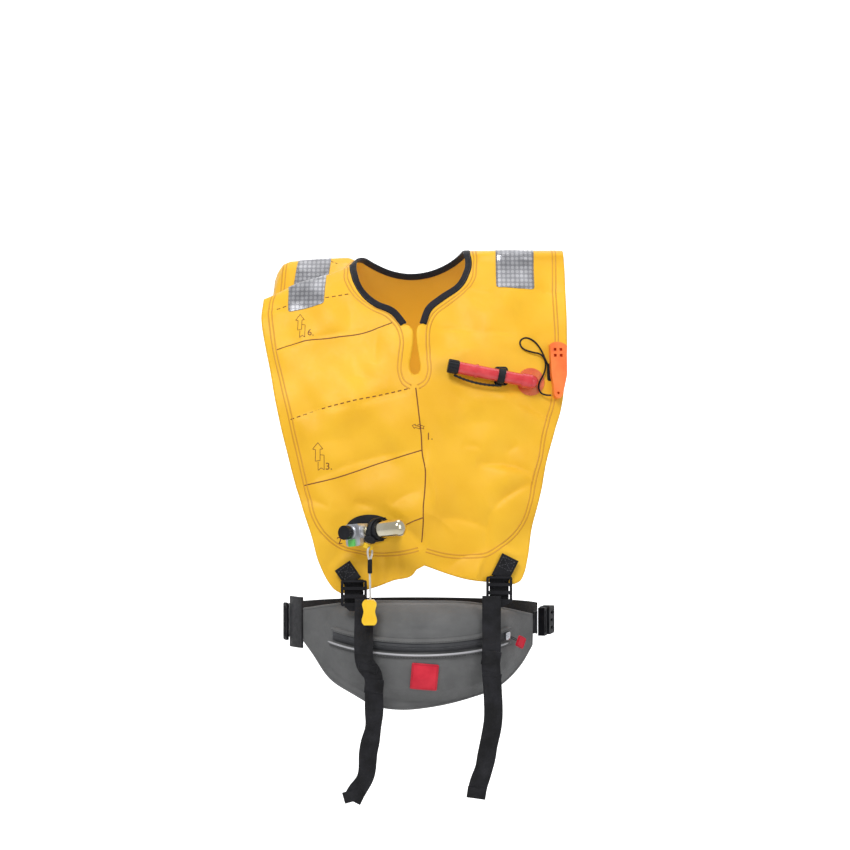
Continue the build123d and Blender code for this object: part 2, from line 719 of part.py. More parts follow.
def on_bag(angle, height, radius):
    """A plane on the bag's round: z outward, y up."""
    out = BAG.x_dir * sin(radians(angle)) + BAG.y_dir * -cos(radians(angle))
    at = BAG_CENTRE + out * radius + BAG.z_dir * height
    return Plane(origin=at, x_dir=BAG.z_dir.cross(out) * 1.0, z_dir=out)


SLIDER_R = ZIP_R + 1.1 + CLEAR


def zip_slider():
    at = on_bag(ZIP_CLOSED, ZIP_HEIGHT, SLIDER_R)
    body = extrude(at * RectangleRounded(8, 9, 2), amount=2.6)
    loop = extrude(at.offset(2.6) * Rectangle(2.4, 5), amount=2.0)
    hole = at * Pos(0, 0, 3.7) * Rot(0, 90, 0) * Cylinder(0.8, 10)
    return body + loop - hole


PULL_HANG = -32.0        # the pull lies this far below the level
PULL_R = SLIDER_R + 3.6
THONG_START = 3.2
THONG_LENGTH = 9.4
THONG_LEAN = 20.0
TAG_SIZE = 13.0
TAG_REACH = 19.2
TAG_OUT = 4.6            # the tag rides clear of the piping and the patch


def pull_plane(distance):
    at = on_bag(ZIP_CLOSED, ZIP_HEIGHT, PULL_R)
    step = at.x_dir * cos(radians(PULL_HANG)) + at.y_dir * sin(radians(PULL_HANG))
    return Plane(origin=at.origin + step * distance, x_dir=step, z_dir=at.z_dir)


def zip_pull_cord():
    """Short thong that leans outward from the slider's loop to the tag."""
    leaning = pull_plane(THONG_START) * Rot(0, -THONG_LEAN, 0) * Pos(THONG_LENGTH / 2, 0)
    return extrude(leaning * Rectangle(THONG_LENGTH, 1.6), amount=0.6, both=True)


def zip_pull_tag():
    square = pull_plane(TAG_REACH).offset(TAG_OUT) * RectangleRounded(TAG_SIZE, TAG_SIZE, 2)
    return extrude(square, amount=1.2, both=True)


def pouch_patch():
    """Square rubber patch on the front of the pouch, plain."""
    at = Plane.XZ * Pos(12, -495) * Rot(0, 0, 5) * RectangleRounded(31, 31, 2)
    shell = bag_ring(137.6, -62, -20, -40, 45, 135.2)
    return shell & extrude(at, amount=FAR)


# ---------------------------------------------------------------- belt
def girth_plane(angle, lift=0.0):
    """A plane on the side of the waist: z outward, x round the waist towards the back."""
    a, b = GIRTH_A + 1.0, GIRTH_B + 1.0
    out = Vector(b * cos(radians(angle)), a * sin(radians(angle)), 0).normalized()
    round_way = Vector(-out.Y, out.X, 0)
    at = Vector(a * cos(radians(angle)), b * sin(radians(angle)), BELT_Z)
    return Plane(origin=at + out * lift, x_dir=round_way, z_dir=out)


def belt_band(inner, outer, height, keep):
    low, high = BELT_Z - height / 2, BELT_Z + height / 2
    return (waist(outer, low, high) - waist(inner, low, high)) & keep


def box_between(x0, x1, y0, y1):
    return Pos((x0 + x1) / 2, (y0 + y1) / 2, BELT_Z) * Box(x1 - x0, y1 - y0, 200)


def belt_webbing():
    """The long belt, from the tri-glide on the right hip round the back to the buckle socket."""
    right = box_between(-170, 0, -30, 140)
    left = box_between(0, 170, 22, 140)
    return belt_band(0, WEB_THICK, BELT_WIDTH, right + left)


def belt_loop_right():
    """Folded webbing sewn to the wing's end, through which the tri-glide is threaded."""
    return belt_band(2.4, 5.0, 62, box_between(-170, 0, -62, -34))


def belt_short():
    """Short webbing from the left wing to the buckle plug."""
    return belt_band(2.4, 2.4 + WEB_THICK, 26, box_between(0, 170, -47, -37))


def tri_glide():
    face = RectangleRounded(18, 44, 3)
    for x in (-4.2, 4.2):
        face -= Pos(x, 0) * Rectangle(4.4, 36)
    return girth_plane(192, 3.4) * extrude(face, amount=3.0)


BUCKLE = girth_plane(-10, -1.5)
SOCKET_LENGTH = 36.0
BUCKLE_HEIGHT = 33.0
PRONG_LENGTH = 22.0
PRONG_OFF = 9.0


def buckle_socket():
    """Female half: a flat case, open in front, with side windows for the prongs."""
    case = BUCKLE * Pos(20, 0, 7) * Box(SOCKET_LENGTH, BUCKLE_HEIGHT, 12)
    case = fillet(case.edges().filter_by(Axis(BUCKLE.origin, BUCKLE.z_dir)), 4)
    case -= BUCKLE * Pos(16, 0, 7) * Box(SOCKET_LENGTH - 6, BUCKLE_HEIGHT - 6, 7)
    case -= BUCKLE * Pos(15, 0, 7) * Box(12, BUCKLE_HEIGHT + 4, 7)
    for z in (-9, 0, 9):
        case -= BUCKLE * Pos(20, z, 12) * Box(14, 3.2, 5)
    return case


def buckle_plug():
    """Male half: a bar with a strap slot and a guide tongue."""
    base = BUCKLE * Pos(-9, 0, 7) * Box(16, BUCKLE_HEIGHT, 8)
    base -= BUCKLE * Pos(-11, 0, 7) * Box(4, BUCKLE_HEIGHT - 7, 20)
    return base + BUCKLE * Pos(9, 0, 7) * Box(21, 4, 5)


def buckle_prong(side):
    """A springy prong, hooked into the side window of the socket."""
    bar = BUCKLE * Pos(PRONG_LENGTH / 2 - 0.6, side * PRONG_OFF, 7) * Box(PRONG_LENGTH, 4, 5)
    hook = BUCKLE * Pos(14.5, side * (PRONG_OFF + 3), 7) * Box(9, 2.6, 5)
    return bar + hook


# ---------------------------------------------------------------- export
def save(name, shape):
    solids = shape.solids()
    shape = solids[0] if len(solids) == 1 else Compound(children=list(solids))
    export_step(shape, f"parts/{name}.step")


def tape_left():
    return reflective_tape([(96, TOP), (141, TOP), (141, -48), (96, -48)],
                           [(96, TOP), (141, TOP), (141, -34), (96, -34)])


def tape_right():
    return reflective_tape([(-103, TOP), (-105, -68), (-147, -76), (-144, TOP)],
                           [(-103, TOP), (-103, -44), (-144, -52), (-144, TOP)])


PIECES = {
    "bladder_inner_sheet": lambda: sheet(0.0),
    "bladder_outer_sheet": lambda: sheet(SHEET + SHEET_GAP),
    "neck_binding": neck_binding,
    "reflective_tape_left": tape_left,
    "reflective_tape_right": tape_right,
    "oral_flange": oral_flange,
    "oral_elbow": oral_elbow,
    "oral_tube": oral_tube,
    "tube_collar": tube_collar,
    "valve_seat": valve_seat,
    "valve_poppet": valve_poppet,
    "oral_cap": oral_cap,
    "tube_keeper": tube_keeper,
    "cap_tether": cap_tether,
    "whistle": whistle,
    "whistle_anchor": whistle_anchor,
    "whistle_cord": whistle_cord,
    "manifold_flange": manifold_flange,
    "manifold_stem": manifold_stem,
    "stem_gasket_rear": lambda: stem_gasket(-BODY_HALF - 2.1),
    "stem_gasket_front": lambda: stem_gasket(BODY_HALF + 2.2),
    "inflator_body": inflator_body,
    "cap_nut": cap_nut,
    "lever": lever,
    "lever_pin": lever_pin,
    "pierce_pin": pierce_pin,
    "indicator_clip": indicator_clip,
    "gas_cylinder": gas_cylinder,
    "cylinder_seal": cylinder_seal,
    "cylinder_band": cylinder_band,
    "lanyard_cord": lanyard_cord,
    "lanyard_sleeve": lanyard_sleeve,
    "lanyard_toggle": lanyard_toggle,
    "pouch_back_panel": pouch_back_panel,
    "pouch_bag": pouch_bag,
    "pouch_piping": pouch_piping,
    "pouch_patch": pouch_patch,
    "zip_tape": zip_tape,
    "zip_slider": zip_slider,
    "zip_pull_cord": zip_pull_cord,
    "zip_pull_tag": zip_pull_tag,
    "belt_webbing": belt_webbing,
    "belt_loop_right": belt_loop_right,
    "belt_short": belt_short,
    "tri_glide": tri_glide,
    "buckle_socket": buckle_socket,
    "buckle_plug": buckle_plug,
    "buckle_prong_upper": lambda: buckle_prong(1),
    "buckle_prong_lower": lambda: buckle_prong(-1),
}
SIDE_PIECES = {
    "strap_tab": strap_tab,
    "ladder_lock": ladder_lock,
    "load_strap": load_strap,
    "strap_tail": strap_tail,
}


def print_places():
    """The pivots and axes that the moving pieces turn about."""
    print("lever pin", gas_point(*LEVER_PIN), "cord eye", EYE, "stem", gas_point(STEM_X, 0))
    print("cylinder axis", U, "stem axis", N)
    anchor = tangent_plane(*ANCHOR, OUTER_FACE)
    print("tube end", TUBE_END, "tube axis", TUBE_AXIS, "anchor", anchor.origin, anchor.z_dir)
    print("bag axis", BAG.z_dir, "pull pivot", pull_plane(0).origin, "axis", pull_plane(0).z_dir)
    print("prong pivots", BUCKLE.from_local_coords((0, PRONG_OFF, 7)),
          BUCKLE.from_local_coords((0, -PRONG_OFF, 7)), "axis", BUCKLE.z_dir)


def main():
    os.makedirs("parts", exist_ok=True)
    for name, build in PIECES.items():
        save(name, build())
    for side_name, side in SIDES.items():
        for name, build in SIDE_PIECES.items():
            save(f"{name}_{side_name}", build(side))
    print_places()


main()
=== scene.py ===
import math
import bpy
import numpy as np
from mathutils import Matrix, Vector, geometry


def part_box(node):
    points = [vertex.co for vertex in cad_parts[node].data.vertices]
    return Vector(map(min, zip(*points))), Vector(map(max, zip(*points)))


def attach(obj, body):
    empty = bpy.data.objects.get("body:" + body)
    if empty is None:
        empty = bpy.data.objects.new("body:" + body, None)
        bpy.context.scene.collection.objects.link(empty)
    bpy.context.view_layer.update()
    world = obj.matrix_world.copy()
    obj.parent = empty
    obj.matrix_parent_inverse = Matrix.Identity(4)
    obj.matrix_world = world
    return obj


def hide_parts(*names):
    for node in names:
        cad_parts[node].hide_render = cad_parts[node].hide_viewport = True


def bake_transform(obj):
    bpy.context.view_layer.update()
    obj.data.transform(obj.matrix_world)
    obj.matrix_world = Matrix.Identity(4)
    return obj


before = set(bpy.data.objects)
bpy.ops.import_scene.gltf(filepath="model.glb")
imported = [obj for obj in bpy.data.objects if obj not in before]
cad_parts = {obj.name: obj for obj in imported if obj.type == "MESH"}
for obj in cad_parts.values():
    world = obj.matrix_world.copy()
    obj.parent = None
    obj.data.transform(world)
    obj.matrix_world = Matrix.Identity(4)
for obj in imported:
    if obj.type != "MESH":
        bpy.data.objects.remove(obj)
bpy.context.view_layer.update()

# Inflatable life jacket, worn and unpacked. Lengths below are in millimetres and become metres as
# each mesh is made. X runs to the left hand of the wearer, -Y to the front, +Z up.
MM = 0.001
OUTER = 1.5          # outer face of the two sheets above the form
SHEET = 0.6


# ------------------------------------------------------------------ camera
LENS_DISTANCE = 3.0
camera_data = bpy.data.cameras.new("camera")
camera_data.sensor_width = 36
camera_data.lens = 36 * LENS_DISTANCE / 0.9775
camera = bpy.data.objects.new("camera", camera_data)
camera.location = (0.01265, -LENS_DISTANCE - 0.125, -0.207)
camera.rotation_euler = (math.pi / 2, 0, 0)
bpy.context.scene.collection.objects.link(camera)
bpy.context.scene.camera = camera


# ------------------------------------------------------------------ curves in the plane
def smooth(a, b, x):
    u = np.clip((x - a) / (b - a), 0, 1)
    return u * u * (3 - 2 * u)


def through(points, step):
    """Points about step apart on a smooth curve through the given ones."""
    p = np.asarray(points, float)
    h = np.linalg.norm(np.diff(p, axis=0), axis=1)
    s = np.concatenate([[0], np.cumsum(h)])
    d = np.diff(p, axis=0) / h[:, None]
    m = np.empty_like(p)
    m[0] = d[0]
    m[-1] = d[-1]
    m[1:-1] = (d[:-1] * h[1:, None] + d[1:] * h[:-1, None]) / (h[1:] + h[:-1])[:, None]
    q = np.linspace(0, s[-1], max(3, int(round(s[-1] / step)) + 1))
    i = np.clip(np.searchsorted(s, q, side="right") - 1, 0, len(h) - 1)
    u = ((q - s[i]) / h[i])[:, None]
    g = h[i][:, None]
    return ((2 * u**3 - 3 * u**2 + 1) * p[i] + (u**3 - 2 * u**2 + u) * g * m[i]
            + (3 * u**2 - 2 * u**3) * p[i + 1] + (u**3 - u**2) * g * m[i + 1])


def beside(points, distance):
    """The same path moved to its left by a distance, or to its right by a negative one."""
    p = np.asarray(points, float)
    d = np.gradient(p, axis=0)
    d /= np.linalg.norm(d, axis=1)[:, None]
    return p + np.stack([-d[:, 1], d[:, 0]], -1) * distance


def inside(polygon, points):
    x, y = points[:, 0], points[:, 1]
    found = np.zeros(len(points), bool)
    for (x0, y0), (x1, y1) in zip(polygon, np.roll(polygon, -1, 0)):
        if y0 != y1:
            found ^= ((y0 > y) != (y1 > y)) & (x < (x1 - x0) * (y - y0) / (y1 - y0) + x0)
    return found


def distance_to(path, points, closed=True):
    ends = np.roll(path, -1, 0) if closed else path[1:]
    starts = path if closed else path[:-1]
    best = np.full(len(points), 1e9)
    for a, b in zip(starts, ends):
        d = b - a
        u = np.clip((points - a) @ d / max(d @ d, 1e-9), 0, 1)
        best = np.minimum(best, ((points - a - u[:, None] * d) ** 2).sum(1))
    return np.sqrt(best)


def triangles(outline, holes, spacing):
    """Points and triangles that fill the outline, evenly spaced inside it."""
    low, high = outline.min(0), outline.max(0)
    rows = []
    for k, height in enumerate(np.arange(low[1], high[1], spacing * 0.87)):
        along = np.arange(low[0] + (k % 2) * spacing / 2, high[0], spacing)
        rows.append(np.stack([along, np.full(len(along), height)], -1))
    grid = np.concatenate(rows)
    grid = grid[inside(outline, grid)]
    for hole in holes:
        grid = grid[~inside(hole, grid)]
    for loop in (outline, *holes):
        grid = grid[distance_to(loop, grid) > spacing * 0.55]
    loops = [outline, *holes]
    edges = []
    count = 0
    for loop in loops:
        edges += [(count + i, count + (i + 1) % len(loop)) for i in range(len(loop))]
        count += len(loop)
    points = np.concatenate([*loops, grid])
    made = geometry.delaunay_2d_cdt([Vector(p) for p in points], edges, [], 0, 1e-6)
    verts = np.array([tuple(v) for v in made[0]])
    faces = np.array([f for f in made[2] if len(f) == 3])
    middle = verts[faces].mean(1)
    keep = inside(outline, middle)
    for hole in holes:
        keep &= ~inside(hole, middle)
    return verts, faces[keep]


# ------------------------------------------------------------------ the worn sheet
def form(x, t):
    """The plain form: t is 0 on the crest of the shoulders, 90 at the chest, negative on the back."""
    w = np.sqrt(1 - (x / 320) ** 2)
    turn = np.radians(np.clip(t, -90, 90))
    beyond = -x - 55
    droop = 0.30 * (np.sqrt(beyond**2 + 900) + beyond) / 2 * np.cos(turn) ** 2
    y = -np.where(t >= 0, 125, 95) * np.sin(turn) * w
    z = -np.where(t >= 0, 280, 140) * (1 - np.cos(turn)) - droop
    return x, y, z - np.clip(t - 90, 0, None) * 3 + np.clip(t + 90, None, 0) * 2


def turn_at(x, z, low=0.0, high=170.0):
    """The t of the front at this x and height, or of the back with low=-170 and high=0."""
    x, z = np.broadcast_arrays(np.asarray(x, float), np.asarray(z, float))
    back = low < 0
    a = np.full(x.shape, float(low))
    b = np.full(x.shape, float(high))
    for _ in range(34):
        t = (a + b) / 2
        above = form(x, t)[2] > z
        a = np.where(above != back, t, a)
        b = np.where(above != back, b, t)
    return (a + b) / 2


def front(points):
    p = np.asarray(points, float)
    return np.stack([p[:, 0], turn_at(p[:, 0], p[:, 1])], -1)


FRONT_FOLD = ([-178, -145, -104, -78, -60, -45], [-62, -48, -31, -20, -9, -3])
BACK_CURL = ([-170, -164, -158, -150, -130, -100, -78, -60], [-40, -24, -15, -11, -9, -7, -6, -6])


def shaped(x, t):
    """The form with the crisp left shoulder and the right shoulder folded down and curled up behind."""
    x, y, z = form(x, t)
    w = np.sqrt(1 - (x / 320) ** 2)
    y = y - 17 * np.exp(-((t - 8) / 9) ** 2) * smooth(52, 80, x)
    fold = np.interp(x, *FRONT_FOLD)
    curl = np.interp(x, *BACK_CURL)
    fold_y = form(x, turn_at(x, fold))[1]
    key_y = np.stack([fold_y - 16, fold_y, fold_y * 0.66, fold_y * 0.12 - 1, w * 22, w * 38, w * 56, w * 84],
                     -1)

    def plain(at):
        forward = at < 0
        s = np.clip(np.abs(at) / (np.where(forward, 125, 95) * w), 0, 1)
        turn = np.where(forward, 1, -1) * np.degrees(np.arcsin(s))
        return form(x, turn)[2]

    key_z = np.stack([plain(key_y[..., 0]), fold, fold - 6, fold - 1, curl - 7, curl, curl - 16,
                      plain(key_y[..., 7])], -1)
    h = np.diff(key_y, axis=-1)
    d = np.diff(key_z, axis=-1) / h
    m = np.empty_like(key_z)
    m[..., 0] = d[..., 0]
    m[..., -1] = d[..., -1]
    m[..., 1:-1] = (d[..., :-1] + d[..., 1:]) / 2
    m[..., 1] = 0.65 * d[..., 0] + 0.1 * d[..., 1]
    new = z.copy()
    for i in range(7):
        here = (y >= key_y[..., i]) & (y < key_y[..., i + 1])
        u = (y - key_y[..., i]) / h[..., i]
        value = ((2 * u**3 - 3 * u**2 + 1) * key_z[..., i] + (u**3 - 2 * u**2 + u) * h[..., i] * m[..., i]
                 + (3 * u**2 - 2 * u**3) * key_z[..., i + 1] + (u**3 - u**2) * h[..., i] * m[..., i + 1])
        new = np.where(here, value, new)
    near = smooth(-56, -82, x)
    return np.stack([x, y, z + (new - z) * near], -1)


# creases as they lie on the front: ends, depth, reach above and below
CREASES = [
    ((72, -252), (137, -263), -5.2, 15, 5), ((136, -274), (89, -305), -5.0, 15, 5),
    ((90, -302), (84, -352), -2.6, 9, 7), ((30, -314), (86, -327), -3.2, 13, 6),
    ((12, -306), (50, -335), 1.6, 3.5, 3.5), ((56, -230), (80, -235), -1.8, 7, 4),
    ((106, -240), (121, -230), -1.8, 7, 4), ((104, -176), (168, -208), -3.4, 17, 9),
    ((86, -352), (70, -389), 2.6, 8, 5), ((15, -96.5), (82, -100), -1.1, 4, 3),
    ((80, -100), (120, -104), -0.9, 4, 3), ((60, -45), (93, -54), -1.6, 7, 5),
    ((66, -58), (86, -76), -1.8, 10, 8), ((142, -46), (178, -53), -2.4, 10, 5),
    ((-160, -120), (-128, -110.6), -1.3, 7, 4), ((-129, -110.6), (-53, -98), -1.4, 7, 4),
    ((-54, -98), (-25, -89), -1.2, 5, 4), ((-42, -96), (-44, -136), -2.4, 12, 10),
    ((-80, -58), (-74, -96), -2.2, 12, 10), ((-66, -186), (-8, -170), -2.6, 10, 5),
    ((-142, -201), (-66, -186), -1.4, 7, 4), ((-127, -277), (9, -236), -1.8, 8, 4),
    ((9, -236), (24, -312), 2.2, 5, 6), ((8, -200), (12, -256), -2.4, 5, 4),
    ((-22, -318), (11, -348), -4.0, 13, 12), ((-37, -344), (-35, -388), -2.6, 8, 7),
    ((-20, -352), (-17, -386), -1.6, 6, 6), ((-110, -330), (-82, -352), -2.2, 9, 6),
    ((-126, -292), (-96, -303), -2.0, 9, 6), ((-70, -296), (-46, -306), -2.2, 9, 6),
    ((-28, -300), (8, -283), -2.0, 9, 6), ((40, -371), (76, -352), -2.0, 8, 5),
    ((-178, -74), (-150, -72), -1.6, 6, 4), ((96, -364), (132, -356), 1.6, 7, 5),
    ((-86, -150), (-30, -158), -1.2, 14, 12), ((-120, -232), (-70, -222), -1.4, 14, 12),
    ((30, -150), (60, -192), -1.4, 16, 14), ((40, -208), (100, -204), -1.3, 14, 14),
]
# places where a fitting is welded on and the sheet lies smooth: centre and half sizes
CALM = [(92, -146, 62, 24), (160, -145, 24, 42), (-50, -326, 33, 22), (102, -372, 20, 20), (-74, -378, 20, 20)]


def add_creases(total, x, z, creases, bow, ends, soft, fall, gain=1.0):
    """Adds each crease's height: a bowed line that fades toward its ends and to both sides."""
    for (x0, z0), (x1, z1), depth, above, below in creases:
        if x1 < x0:
            x0, z0, x1, z1 = x1, z1, x0, z0
        run = math.hypot(x1 - x0, z1 - z0)
        u = ((x - x0) * (x1 - x0) + (z - z0) * (z1 - z0)) / run**2
        v = ((z - z0) * (x1 - x0) - (x - x0) * (z1 - z0)) / run - run * bow * (1 - (2 * u - 1) ** 2)
        taper = np.clip(1 - (2 * u - 1) ** 2, 0, 1) ** ends
        reach = np.where(v > 0, above, below)
        total += gain * depth * taper * np.exp(-np.sqrt((v / reach) ** 2 + soft) * fall)


def relief(x, z, t):
    """How far the sheet stands out from the smooth form."""
    total = np.zeros_like(x)
    for k in range(12):
        angle = 2.4 * k + 0.7
        length = 34 + 13 * ((k * 5) % 9)
        wave = (x * math.cos(angle) + z * math.sin(angle)) * 2 * math.pi / length + 1.9 * k
        total += 0.011 * length * np.sin(wave)
    add_creases(total, x, z, CREASES, 0.06, 0.75, 0.02, 1.5, 1.25)
    for cx, cz, rx, rz in CALM:
        off = np.sqrt(((x - cx) / rx) ** 2 + ((z - cz) / rz) ** 2)
        total *= 0.04 + 0.96 * smooth(0.85, 1.45, off)
    return total * smooth(2, 14, t) - 0.5 * smooth(-2, -20, t) * np.sin(x / 23) * np.sin(z / 17 + x / 40)


def sheet_points(xt, lift, relieved=True):
    """Points in mm at a height above the worn sheet."""
    x = np.asarray(xt, float)[:, 0]
    t = np.asarray(xt, float)[:, 1]
    middle = shaped(x, t)
    across = shaped(x + 0.6, t) - shaped(x - 0.6, t)
    along = shaped(x, t + 0.3) - shaped(x, t - 0.3)
    normal = np.cross(along, across)
    normal /= np.linalg.norm(normal, axis=1)[:, None]
    out = np.asarray(lift, float) + (relief(x, middle[:, 2], t) if relieved else 0)
    return middle + normal * np.reshape(out, (-1, 1)), normal


def to_flat(xt):
    """The same points in a plane where both directions have about the same scale."""
    t = xt[:, 1]
    s = np.where(t >= 0, 3.67 * np.clip(t, None, 90) + 3 * np.clip(t - 90, 0, None),
                 2.05 * np.clip(t, -90, None) + 2 * np.clip(t + 90, None, 0))
    return np.stack([xt[:, 0], s], -1)


def from_flat(xs):
    s = xs[:, 1]
    t = np.where(s >= 0, np.clip(s, None, 330.3) / 3.67 + np.clip(s - 330.3, 0, None) / 3,
                 np.clip(s, -184.5, None) / 2.05 + np.clip(s + 184.5, None, 0) / 2)
    return np.stack([xs[:, 0], t], -1)


# ------------------------------------------------------------------ meshes
def make(name, points, faces, material, body="jacket", smooth_shaded=True, slot=None):
    """A mesh from points in mm, riding on a body."""
    mesh = bpy.data.meshes.new(name)
    mesh.from_pydata((np.asarray(points) * MM).tolist(), [], [list(map(int, f)) for f in faces])
    mesh.validate()
    mesh.update()
    mesh.polygons.foreach_set("use_smooth", [smooth_shaded] * len(mesh.polygons))
    thing = bpy.data.objects.new(name, mesh)
    bpy.context.scene.collection.objects.link(thing)
    mesh.materials.append(material)
    if body:
        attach(thing, body)
    return thing


def shell(upper, lower, faces):
    """Closes a triangulated surface and the one behind it into a thin solid."""
    n = len(upper)
    edges = np.sort(np.concatenate([faces[:, [0, 1]], faces[:, [1, 2]], faces[:, [2, 0]]]), axis=1)
    order, counts = np.unique(edges, axis=0, return_counts=True)
    rim = {tuple(e) for e in order[counts == 1]}
    walls = [[b, a, a + n, b + n] for face in faces for a, b in zip(face, np.roll(face, -1))
             if (min(a, b), max(a, b)) in rim]
    both = np.concatenate([upper, lower])
    return both, [list(f) for f in faces] + [list(f[::-1] + n) for f in faces] + walls


def facing_front(points, faces):
    """The triangles turned to look toward -Y."""
    a, b, c = (points[faces[:, i]] for i in range(3))
    turned = np.cross(b - a, c - a)[:, 1] > 0
    faces[turned] = faces[turned][:, ::-1]
    return faces


def patch(name, outline, holes, lift, thick, spacing, material, **how):
    """A piece of sheet that lies on the worn form; outline and holes are in x and t."""
    flat, faces = triangles(to_flat(outline), [to_flat(h) for h in holes], spacing)
    points, normals = sheet_points(from_flat(flat), lift)
    a, b, c = (points[faces[:, i]] for i in range(3))
    facing = np.einsum("ij,ij->i", np.cross(b - a, c - a), normals[faces[:, 0]]) < 0
    faces[facing] = faces[facing][:, ::-1]
    both, closed = shell(points, points - normals * thick, faces)
    return make(name, both, closed, material, **how)


def laid(at, section, across, out):
    """A section's points (sideways, outward) at a place, along its two directions."""
    sideways, outward = np.transpose(section)
    return at + np.outer(sideways, across) + np.outer(outward, out)


def weave(thing, values):
    """Where each point lies in the weave, in mm."""
    layer = thing.data.attributes.new("weave", "FLOAT_VECTOR", "POINT")
    layer.data.foreach_set("vector", np.array(values, np.float32).ravel())
    return thing


def sweep_rings(rings, closed_path=False, caps=True):
    """Faces that join rings of points, and caps at both ends."""
    count, size = len(rings), len(rings[0])
    faces = []
    for i in range(count if closed_path else count - 1):
        j = (i + 1) % count
        for k in range(size):
            m = (k + 1) % size
            faces.append([i * size + k, i * size + m, j * size + m, j * size + k])
    if caps and not closed_path:
        faces.append(list(range(size))[::-1])
        faces.append([(count - 1) * size + k for k in range(size)])
    return np.concatenate(rings), faces


def bead(name, path, section, material, lift=OUTER, **how):
    """A small section carried along a path on the sheet: section is (sideways, outward) in mm."""
    xt = np.asarray(path, float)
    points, normals = sheet_points(xt, lift)
    along = np.gradient(points, axis=0)
    along /= np.linalg.norm(along, axis=1)[:, None]
    side = np.cross(normals, along)
    side /= np.linalg.norm(side, axis=1)[:, None]
    verts, faces = sweep_rings([laid(points[i], section, side[i], normals[i]) for i in range(len(points))])
    return make(name, verts, faces, material, **how)


def tube(path, radius, sides=12, ends=True):
    """Rings round a path in mm; radius may be one value for each point."""
    p = np.asarray(path, float)
    radius = np.broadcast_to(radius, len(p))
    along = np.gradient(p, axis=0)
    along /= np.linalg.norm(along, axis=1)[:, None]
    up = np.array([0.0, 0.0, 1.0]) if abs(along[0][2]) < 0.8 else np.array([1.0, 0.0, 0.0])
    rings = []
    for i, d in enumerate(along):
        u = up - d * (up @ d)
        u /= np.linalg.norm(u)
        up = u
        v = np.cross(d, u)
        a = np.linspace(0, 2 * math.pi, sides, endpoint=False)
        rings.append(p[i] + radius[i] * (np.outer(np.cos(a), u) + np.outer(np.sin(a), v)))
    return sweep_rings(rings, caps=ends)


def joined(parts):
    """Several (points, faces) as one."""
    verts, faces, count = [], [], 0
    for p, f in parts:
        verts.append(np.asarray(p))
        faces += [[k + count for k in face] for face in f]
        count += len(p)
    return np.concatenate(verts), faces


# ------------------------------------------------------------------ materials
def graph(name):
    material = bpy.data.materials.new(name)
    material.use_nodes = True
    tree = material.node_tree
    return material, tree, tree.nodes["Principled BSDF"]


def dial(made, inputs):
    """Sets a shader node's inputs by name."""
    for key, value in inputs.items():
        made.inputs[key].default_value = value


def node(tree, kind, inputs=None, **settings):
    made = tree.nodes.new(kind)
    for key, value in settings.items():
        setattr(made, key, value)
    dial(made, inputs or {})
    return made


def two_colours(tree, low, high):
    """A ramp from one colour to another, each given with its position."""
    ramp = node(tree, "ShaderNodeValToRGB")
    for stop, (position, colour) in zip(ramp.color_ramp.elements, (low, high)):
        stop.position = position
        stop.color = (*colour, 1)
    return ramp


def bump_from(tree, source, bsdf, strength, distance):
    """Fine relief in the shading from a height output."""
    lift = node(tree, "ShaderNodeBump", {"Strength": strength, "Distance": distance})
    tree.links.new(source, lift.inputs["Height"])
    tree.links.new(lift.outputs["Normal"], bsdf.inputs["Normal"])


def colour_noise(tree, bsdf, low, high, scale):
    where = node(tree, "ShaderNodeTexCoord")
    cloud = node(tree, "ShaderNodeTexNoise", {"Scale": scale, "Detail": 3.0})
    ramp = two_colours(tree, (0.35, low), (0.68, high))
    tree.links.new(where.outputs["Object"], cloud.inputs["Vector"])
    tree.links.new(cloud.outputs["Fac"], ramp.inputs["Fac"])
    tree.links.new(ramp.outputs["Color"], bsdf.inputs["Base Color"])
    return where


def rough_noise(tree, bsdf, where, low, high, scale):
    cloud = node(tree, "ShaderNodeTexNoise", {"Scale": scale})
    spread = node(tree, "ShaderNodeMapRange", {"From Min": 0.3, "From Max": 0.7, "To Min": low, "To Max": high})
    tree.links.new(where.outputs["Object"], cloud.inputs["Vector"])
    tree.links.new(cloud.outputs["Fac"], spread.inputs["Value"])
    tree.links.new(spread.outputs["Result"], bsdf.inputs["Roughness"])


def cloth(name, low, high, pitch, bump, rough, sheen=0.0, attribute=None, blotch=26.0, spec=0.5):
    """Woven cloth: two crossed sets of threads at a pitch in mm, with uneven colour and sheen."""
    material, tree, bsdf = graph(name)
    where = colour_noise(tree, bsdf, low, high, blotch)
    rough_noise(tree, bsdf, where, rough - 0.07, rough + 0.07, 180)
    source = where.outputs["Object"]
    factor = 1000 / pitch
    if attribute:
        source = node(tree, "ShaderNodeAttribute", attribute_name=attribute).outputs["Vector"]
        factor = 1 / pitch
    heights = []
    for turn in ((0, 0, 0), (0, 0, math.pi / 2) if attribute else (0, math.pi / 2, 0)):
        place = node(tree, "ShaderNodeMapping", {"Rotation": turn, "Scale": (factor, factor, factor)})
        wave = node(tree, "ShaderNodeTexWave", {"Scale": 0.3142, "Distortion": 0.6, "Detail Scale": 2.0},
                    wave_type="BANDS", bands_direction="X")
        tree.links.new(source, place.inputs["Vector"])
        tree.links.new(place.outputs["Vector"], wave.inputs["Vector"])
        heights.append(wave.outputs["Fac"])
    both = node(tree, "ShaderNodeMath", operation="MAXIMUM")
    tree.links.new(heights[0], both.inputs[0])
    tree.links.new(heights[1], both.inputs[1])
    bump_from(tree, both.outputs[0], bsdf, bump, 0.0004)
    dial(bsdf, {"Sheen Weight": sheen, "Sheen Roughness": 0.4, "Specular IOR Level": spec})
    return material


